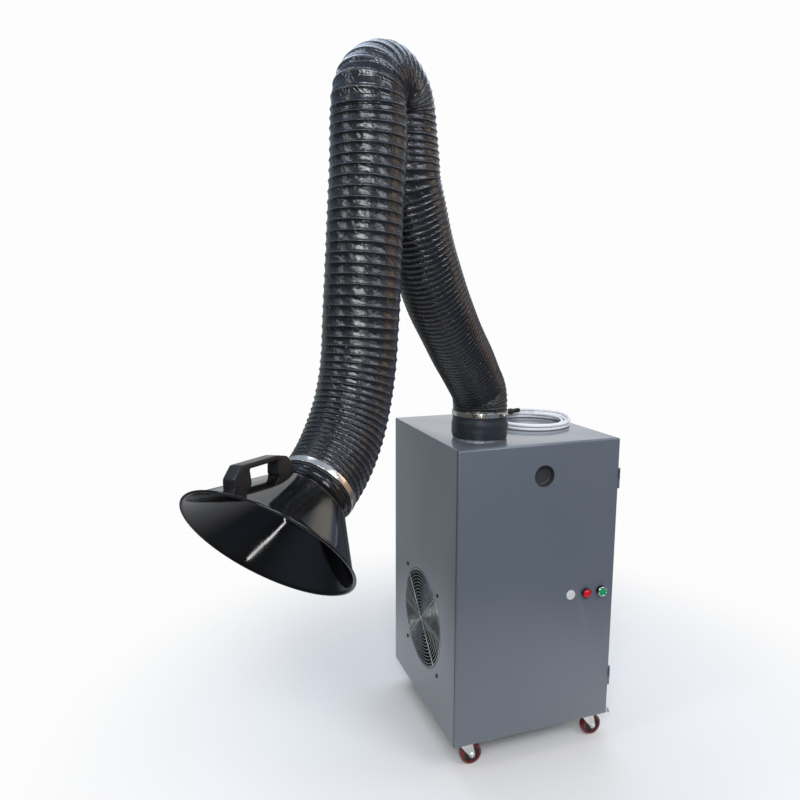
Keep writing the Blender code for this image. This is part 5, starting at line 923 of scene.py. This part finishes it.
# The stop button's dome stands proud of a plain housing, the start button is sunk in a chrome bezel
STOP_RISE, STOP_DOME, STOP_BORE = 0.010, 0.0055, 0.0129
START_RISE, START_BORE = 0.014, 0.0119
FOOT = 0.005
dome = ((0.0, 1.0), (0.0040, 0.965), (0.0075, 0.78), (0.0100, 0.42), (0.0118, 0.16))
stop_cap = [(radius, STOP_RISE + STOP_DOME * share) for radius, share in dome]
stop_edge = STOP_BORE - GAP
stop_cap += [(stop_edge, STOP_RISE - 0.0012), (stop_edge, STOP_RISE - FOOT), (0.0, STOP_RISE - FOOT)]
dish = ((0.0, -0.0006), (0.0070, -0.0003), (0.0098, 0.0006), (0.0110, 0.0010), (0.0116, 0.0004))
start_cap = [(radius, START_RISE + rise) for radius, rise in (*dish, (0.0116, -FOOT), (0.0, -FOOT))]
for name, bore, top, cap, colour, cap_slot in (
    ("stop", STOP_BORE, STOP_RISE, stop_cap, RED, "red_plastic"),
    ("start", START_BORE, START_RISE - 0.0030, start_cap, GREEN, "green_plastic"),
):
    section = [(bore, top), (0.0139, top), (0.0145, top - 0.0010), (0.0145, GAP), (0.0110, GAP)]
    section = rounded(section, 0.0005) + [(bore - GAP, GAP), (bore, GAP)]
    put_turned(f"{name}_body", section, 35.0, SATIN_BLACK, [f"{name}_housing"])
    put_back(name)
    if name == "start":
        bezel = ((bore, 0.0), (bore + 0.0008, 0.0006), (0.0140, 0.0), (0.0146, -0.0014), (0.0146, -0.0032))
        bezel = [(radius, START_RISE + rise) for radius, rise in (*bezel, (bore, -0.0032))]
        put_turned("start_bezel", rounded(bezel, 0.0006), 40.0, CHROME)
    put_turned(f"{name}_cap", cap, 45.0, colour, [f"{name}_button"], False, name)


# Wheels

HALF_WHEEL = 0.012
TRAIL, AXLE_LEVEL = 0.022, -0.0550
FORK_FACE = HALF_WHEEL + 0.0015 + 0.0022
tread = rounded([(0.0315, 0.0), (0.0315, -0.0085), (0.0295, -HALF_WHEEL), (0.0232, -HALF_WHEEL)], 0.003)
tread += [(0.0225, -0.0108), *rounded([
    (0.0225, 0.0108), (0.0232, HALF_WHEEL), (0.0295, HALF_WHEEL), (0.0315, 0.0085), (0.0315, 0.0),
], 0.003)[:-1]]
hub = rounded([
    (0.0222, 0.0), (0.0222, -0.0100), (0.0200, -0.0102), (0.0185, -0.0070), (0.0120, -0.0070),
    (0.0105, -HALF_WHEEL), (0.0043, -HALF_WHEEL),
], 0.0012)
hub += [(radius, -height) for radius, height in reversed(hub)][:-1]
# Nut, washer and tip of an axle: the radius, both ends out from the fork, the sides and the ease
AXLE_END = (
    (0.0066, -0.0002, 0.0042, 6, 0.0006), (0.0086, -0.0002, 0.0010, 40, 0.0003),
    (0.0034, 0.0035, 0.0056, 24, 0.0006),
)
for corner, (x, y) in CORNERS.items():
    wheel = f"wheel_{corner}"
    axle = Vector((x + TRAIL, y, AXLE_LEVEL))
    turn = frame_on(axle, Y_AXIS, X_AXIS)
    tyre = turned(tread, 96, 50.0)
    stands_for = [f"wheel_tread_{corner}"]
    put(f"wheel_tyre_{corner}", tyre, POLYURETHANE, wheel, stands_for, turn)
    core = turned(hub, 96, 50.0)
    put(f"wheel_hub_{corner}", core, CORE, wheel, [f"wheel_core_{corner}"], turn)
    for tag, way in (("inner", -Y_AXIS), ("outer", Y_AXIS)):
        rods = [
            rod_mesh(radius, axle + way * (FORK_FACE + low), axle + way * (FORK_FACE + high), sides, eased)
            for radius, low, high, sides, eased in AXLE_END
        ]
        put(f"axle_nut_{corner}_{tag}", merged(*rods), ZINC, f"caster_{corner}")


# Brake pedals

# Each station's share of the pedal's length, its share of the rise and its half width
PEDAL_STATIONS = (
    (0.055, 0.17, 0.0118), (0.22, 0.35, 0.0118), (0.34, 0.84, 0.0124), (0.42, 1.00, 0.0172),
    (0.50, 1.02, 0.0200), (0.86, 1.00, 0.0205), (0.95, 0.80, 0.0200), (1.00, 0.50, 0.0188),
)
PEDAL_LENGTH, PEDAL_RISE = 0.062, 0.008
PEDAL_PIVOT = Vector((0.0165, 0.0, -0.0172))


def pedal_mesh():
    """A pressed plate about its pivot, with a groove along it and its sides turned down at the toe."""
    vertices = []
    across, rows = 9, len(PEDAL_STATIONS)
    for side in (0.0014, -0.0014):
        for far, rise, half_width in PEDAL_STATIONS:
            for step in range(across):
                share = 2 * step / (across - 1) - 1
                groove = 0.0012 * exp(-((share / 0.22) ** 2)) if far > 0.4 else 0.0
                lip = 0.0016 + 0.0054 * min(max((far - 0.42) / 0.12, 0.0), 1.0)
                turned_down = lip * max(abs(share) - 0.72, 0.0) / 0.28
                height = PEDAL_RISE * rise + side - groove - turned_down
                vertices.append((PEDAL_LENGTH * far, half_width * share, height))
    under = rows * across
    faces = []
    for row in range(rows - 1):
        for a in range(row * across, row * across + across - 1):
            faces.append((a, a + across, a + across + 1, a + 1))
            faces.append((under + a, under + a + 1, under + a + across + 1, under + a + across))
    rim = [(0, i) for i in range(across)] + [(r, across - 1) for r in range(1, rows)]
    rim += [(rows - 1, i) for i in range(across - 2, -1, -1)] + [(r, 0) for r in range(rows - 2, 0, -1)]
    rim = [row * across + step for row, step in rim]
    for a, b in zip(rim, rim[1:] + rim[:1]):
        faces.append((a, b, under + b, under + a))
    return mesh_from(vertices, faces, 40.0)


for corner in ("front_left", "front_right"):
    place = Matrix.Translation(Vector((*CORNERS[corner], 0.0)) + PEDAL_PIVOT)
    body = f"pedal_{corner}"
    put(body, pedal_mesh(), ZINC, body, [f"brake_pedal_{corner}"], place)


# Mains lead

CORD = 0.0045
SPACING = 0.0098
COIL = Vector((0.118, 0.022, 0.0))
COIL_RADIUS = 0.122
GLAND = Vector((COIL.x - COIL_RADIUS, HALF_Y, 0.806))


def layer_height(layer):
    """The height of the cord's middle in a layer of the coil."""
    return HEIGHT + GAP + CORD + layer * SPACING


def coil_points(per_loop=60):
    """The coil from where the lead lands to the plug."""
    climb_start, climb_end = 2.0, 2.5
    upper_end = climb_end + 1.8334
    tail_end = upper_end + 0.4167
    inner_radius = COIL_RADIUS - SPACING * climb_end
    outer_radius = inner_radius + SPACING * (1.8334 + 0.42)
    tail_height = HEIGHT + 2 * SPACING + 2 * GAP + 0.0100
    points = []
    steps = round(tail_end * per_loop)
    for step in range(steps + 1):
        turns = tail_end * step / steps
        if turns <= climb_end:
            radius = COIL_RADIUS - SPACING * turns
        elif turns <= upper_end:
            back = turns - climb_end
            radius = inner_radius + SPACING * (back + 0.42 * min(back / 0.5, 1.0))
        else:
            radius = outer_radius
        climbed = min(max((turns - climb_start) / 0.5, 0.0), 1.0)
        height = layer_height(climbed)
        tail = max((turns - upper_end) / 0.4167, 0.0)
        if tail:
            rising = min(tail / 0.48, 1.0)
            inward = max((tail - 0.48) / 0.52, 0.0)
            radius = outer_radius + (0.078 - outer_radius) * inward * sqrt(inward)
            height = layer_height(1) + SPACING * rising
            height += (tail_height - layer_height(2)) * (1 - cos(pi * inward)) / 2
        a = pi + 2 * pi * turns
        points.append(Vector((COIL.x + radius * cos(a), COIL.y + radius * sin(a), height)))
    return points


route = [Vector((GLAND.x, HALF_Y + 0.018 + 2 * GAP, GLAND.z))]
BEND, CREST_Y, WAY_DOWN = 0.036, HALF_Y + 0.030, 0.105
for step in range(25):
    a = pi * step / 24
    route.append(Vector((GLAND.x, CREST_Y + BEND * sin(a), GLAND.z + BEND * (1 - cos(a)))))
top, rest = GLAND.z + 2 * BEND, layer_height(0)
for step in range(1, 16):
    share = step / 15
    height = top + (rest - top) * (1 - cos(pi * share)) / 2
    route.append(Vector((GLAND.x, CREST_Y - WAY_DOWN * share, height)))
landed = CREST_Y - WAY_DOWN
for step in range(1, 9):
    route.append(Vector((GLAND.x, landed + (COIL.y - landed) * step / 9, rest)))
coil = coil_points()
lead_points = route + coil
lead_curve = bpy.data.curves.new("mains_lead", "CURVE")
lead_curve.dimensions = "3D"
lead_curve.bevel_depth = CORD
lead_curve.bevel_resolution = 5
lead_curve.use_fill_caps = True
spline = lead_curve.splines.new("POLY")
spline.points.add(len(lead_points) - 1)
for point, where in zip(spline.points, lead_points):
    point.co = (*where, 1.0)
spline.use_smooth = True
lead = put("mains_lead", lead_curve, SHEATH, "cabinet", ["power_cord", "cord_coil"])

dome = [(0.0, 0.030), *rounded([
    (CORD + 0.0006, 0.030), (0.0080, 0.030), (0.0108, 0.0240), (0.0115, 0.0120), (0.0115, 0.0110),
    (0.0100, 0.0100), (0.0100, 0.0062),
], 0.0015), (0.0100, GAP), (0.0, GAP)]
gland_data = merged(
    turned(dome, 48, 35.0, closed=False),
    rod_mesh(0.0125, (0.0, 0.0, GAP), (0.0, 0.0, 0.0062), 6, 0.0007),
    rod_mesh(0.0115, (0.0, 0.0, -0.0075), (0.0, 0.0, -SHEET - GAP), 6, 0.0006),
)
gland_place = frame_on(GLAND, Y_AXIS, X_AXIS)
gland = put("gland_skin", gland_data, SATIN_BLACK, "cabinet", ["cable_gland"], gland_place)

onward = coil[-1] - coil[-3]
level = Vector((onward.x, onward.y, 0.0)).normalized()
plug_place = frame_on(coil[-1] - level * 0.0047, level, Z_AXIS)
grip = rounded([
    (0.0, 0.082), (0.0085, 0.082), (0.0100, 0.077), (0.0096, 0.060), (0.0100, 0.042), (0.0088, 0.034),
    (0.0072, 0.030),
], 0.003)
for ring in range(5):
    at = 0.0275 - ring * 0.0055
    grip += [(0.0070, at), (0.0070, at - 0.0028), (0.0058, at - 0.0034), (0.0058, at - 0.0052)]
grip = turned([*grip, (0.0058, 0.0), (0.0, 0.0)], 40, 40.0, closed=False)
plug = put("plug_skin", grip, SATIN_BLACK, "cabinet", ["cord_plug"], plug_place)
pins = [rod_mesh(0.0024, (0.0, s * 0.005, 0.0815), (0.0, s * 0.005, 0.101), 24, 0.0008) for s in (-1, 1)]
pins_thing = put("plug_pins", merged(*pins), ZINC, "cabinet", (), plug_place)


# Carried-over CAD pieces

CARRIED = {
    "powder_coat": (POWDER, ["rear_panel", "base_tray"]),
    "galvanised_sheet": (GALVANISED, ["inlet_spigot", "filter_shelf"]),
    "filter_aluminium": (ALUMINIUM, ["filter_frame"]),
    "filter_paper": (PAPER, ["filter_media"]),
    "seal_foam": (FOAM, ["door_seal"]),
    "black_plastic": (SATIN_BLACK, ["control_box", "fan_impeller"]),
    "black_paint": (BLACK_PAINT, ["fan_shroud", "fan_motor", "hood_bracket"]),
    "zinc_plate": (ZINC, [
        "arm_turntable", "lower_link", "upper_link",
        *[f"caster_{part}_{corner}" for part in ("plate", "fork") for corner in CORNERS],
    ]),
}
for slot_name, (material, names) in CARRIED.items():
    for name in names:
        thing = NODES[name]
        thing.data.materials.clear()
        thing.data.materials.append(material)


# Stage, light and camera

def area_light(name, place, target, size, energy, colour=(1.0, 1.0, 1.0), size_y=None):
    """A soft light that looks at a point."""
    data = bpy.data.lights.new(name, "AREA")
    data.energy = energy
    data.color = colour
    data.size = size
    if size_y:
        data.shape = "RECTANGLE"
        data.size_y = size_y
    thing = in_scene(name, data)
    thing.location = place
    thing.rotation_euler = (Vector(target) - Vector(place)).to_track_quat("-Z", "Y").to_euler()


area_light("key", (-1.70, -3.30, 3.00), (-0.4, -0.3, 1.0), 1.7, 84.0, (0.98, 0.99, 1.0), 1.1)
area_light("front_soft", (1.3, -2.9, 3.3), (0.1, -0.25, 0.6), 1.6, 44.0, (0.90, 0.93, 1.0))
area_light("left_strip", (-2.3, -0.6, 2.3), (-0.4, -0.3, 0.8), 0.16, 7.0, size_y=1.5)
area_light("warm_side", (2.3, -1.1, 2.2), (-0.4, -0.3, 1.1), 1.3, 8.0, (1.0, 0.74, 0.54))
area_light("mouth_glint", (-1.13, -2.80, 0.64), (-0.79, -0.58, 0.79), 0.09, 2.6, size_y=0.5)
area_light("sky", (0.2, 0.9, 3.3), (-0.2, -0.1, 0.8), 2.4, 42.0, (0.74, 0.85, 1.0))


world = bpy.data.worlds.new("studio")
bpy.context.scene.world = world
world.use_nodes = True
tree = world.node_tree
tree.nodes.clear()
DIRECTION = node(tree, "TexCoord", {})["Generated"]
UPWARD = node(tree, "SeparateXYZ", {"Vector": DIRECTION})["Z"]


def height_ramp(*stops):
    """A colour from how far a ray points up, -1 to 1."""
    share = node(tree, "MapRange", {"Value": UPWARD, "From Min": -1.0})["Result"]
    return ramp(tree, share, [((place + 1) / 2, colour) for place, colour in stops])


def lobe(before, towards, inner, outer, colour):
    """A soft patch of colour round an azimuth and an elevation, over what is there."""
    azimuth, elevation = (radians(angle) for angle in towards)
    axis = (cos(azimuth) * cos(elevation), sin(azimuth) * cos(elevation), sin(elevation))
    facing = node(tree, "VectorMath", {0: DIRECTION, 1: axis}, operation="DOT_PRODUCT")["Value"]
    inputs = {"Value": facing, "From Min": cos(radians(outer)), "From Max": cos(radians(inner))}
    share = node(tree, "MapRange", inputs, interpolation_type="SMOOTHSTEP")["Result"]
    return node(tree, "MixRGB", {"Fac": share, "Color1": before, "Color2": (*colour, 1.0)})["Color"]


# What metal and gloss show: a pale backdrop behind, blue above, warm light on the right
mirrored = height_ramp(
    (-1.0, (0.12, 0.12, 0.12)), (-0.30, (0.09, 0.09, 0.09)), (0.05, (0.11, 0.12, 0.14)),
    (0.55, (0.34, 0.42, 0.58)),
)
for towards, inner, outer, colour in (
    ((-55.0, -18.0), 12.0, 45.0, (0.17, 0.20, 0.28)),
    ((40.0, 0.0), 12.0, 38.0, (0.26, 0.30, 0.42)),
    ((-8.0, 8.0), 8.0, 30.0, (0.42, 0.31, 0.23)),
    ((112.0, -6.0), 8.0, 30.0, (0.40, 0.46, 0.46)),
    ((70.0, 14.0), 12.0, 30.0, (0.95, 0.96, 0.97)),
    ((38.0, 14.0), 3.0, 11.0, (1.00, 0.94, 0.84)),
):
    mirrored = lobe(mirrored, towards, inner, outer, colour)
ambient = height_ramp(
    (-1.0, (0.42, 0.42, 0.42)), (-0.05, (0.46, 0.46, 0.46)), (0.10, (0.92, 0.94, 0.97)),
    (1.0, (0.94, 0.96, 1.0)),
)
ambient = lobe(ambient, (170.0, 0.0), 20.0, 75.0, (0.30, 0.32, 0.33))


def background(strength, colour=(0.98, 0.98, 0.98, 1.0)):
    """A background shader."""
    return node(tree, "Background", {"Color": colour, "Strength": strength})["Background"]


def choose(factor, first, second):
    """One shader or another, by a factor."""
    return node(tree, "MixShader", {"Fac": factor, 1: first, 2: second})["Shader"]


rays = node(tree, "LightPath", {})
inputs = {0: rays["Is Glossy Ray"], 1: rays["Is Transmission Ray"]}
either = node(tree, "Math", inputs, operation="MAXIMUM")["Value"]
surroundings = choose(either, background(0.44, ambient), background(1.0, mirrored))
surroundings = choose(rays["Is Camera Ray"], surroundings, background(1.0))
node(tree, "OutputWorld", {"Surface": surroundings})

FLOOR_HALF, FLOOR_LEVEL = 9.0, -0.0866
square = [(x * FLOOR_HALF, y * FLOOR_HALF, 0.0) for x, y in ((-1, -1), (1, -1), (1, 1), (-1, 1))]
floor_data = bpy.data.meshes.new("floor")
floor_data.from_pydata(square, [], [(0, 1, 2, 3)])
floor = in_scene("floor", floor_data)
floor.location = (0.0, 0.0, FLOOR_LEVEL)
floor_finish = finish("pale_floor", (0.86, 0.86, 0.86), 0.8)
floor_data.materials.append(floor_finish)
# The floor fades into the background round the object
tree = floor_finish.node_tree
length = node(tree, "VectorMath", {0: node(tree, "TexCoord", {})["Object"]}, operation="LENGTH")["Value"]
inputs = {"Value": length, "From Min": 0.55, "From Max": 1.50}
fade = node(tree, "MapRange", inputs, interpolation_type="SMOOTHSTEP")["Result"]
faded = choose(fade, shader_of(floor_finish).outputs["BSDF"], node(tree, "BsdfTransparent", {})["BSDF"])
tree.links.new(faded, tree.nodes["Material Output"].inputs["Surface"])

camera_data = bpy.data.cameras.new("camera")
camera_data.lens = 30.01
camera_data.sensor_width = 36.0
camera_data.clip_end = 60.0
camera = in_scene("camera", camera_data)
camera.location = (-0.944, -1.797, 1.250)
camera.rotation_euler = (radians(81.06), 0.0, radians(-19.074))
bpy.context.scene.camera = camera
bpy.context.scene.view_settings.view_transform = "Standard"
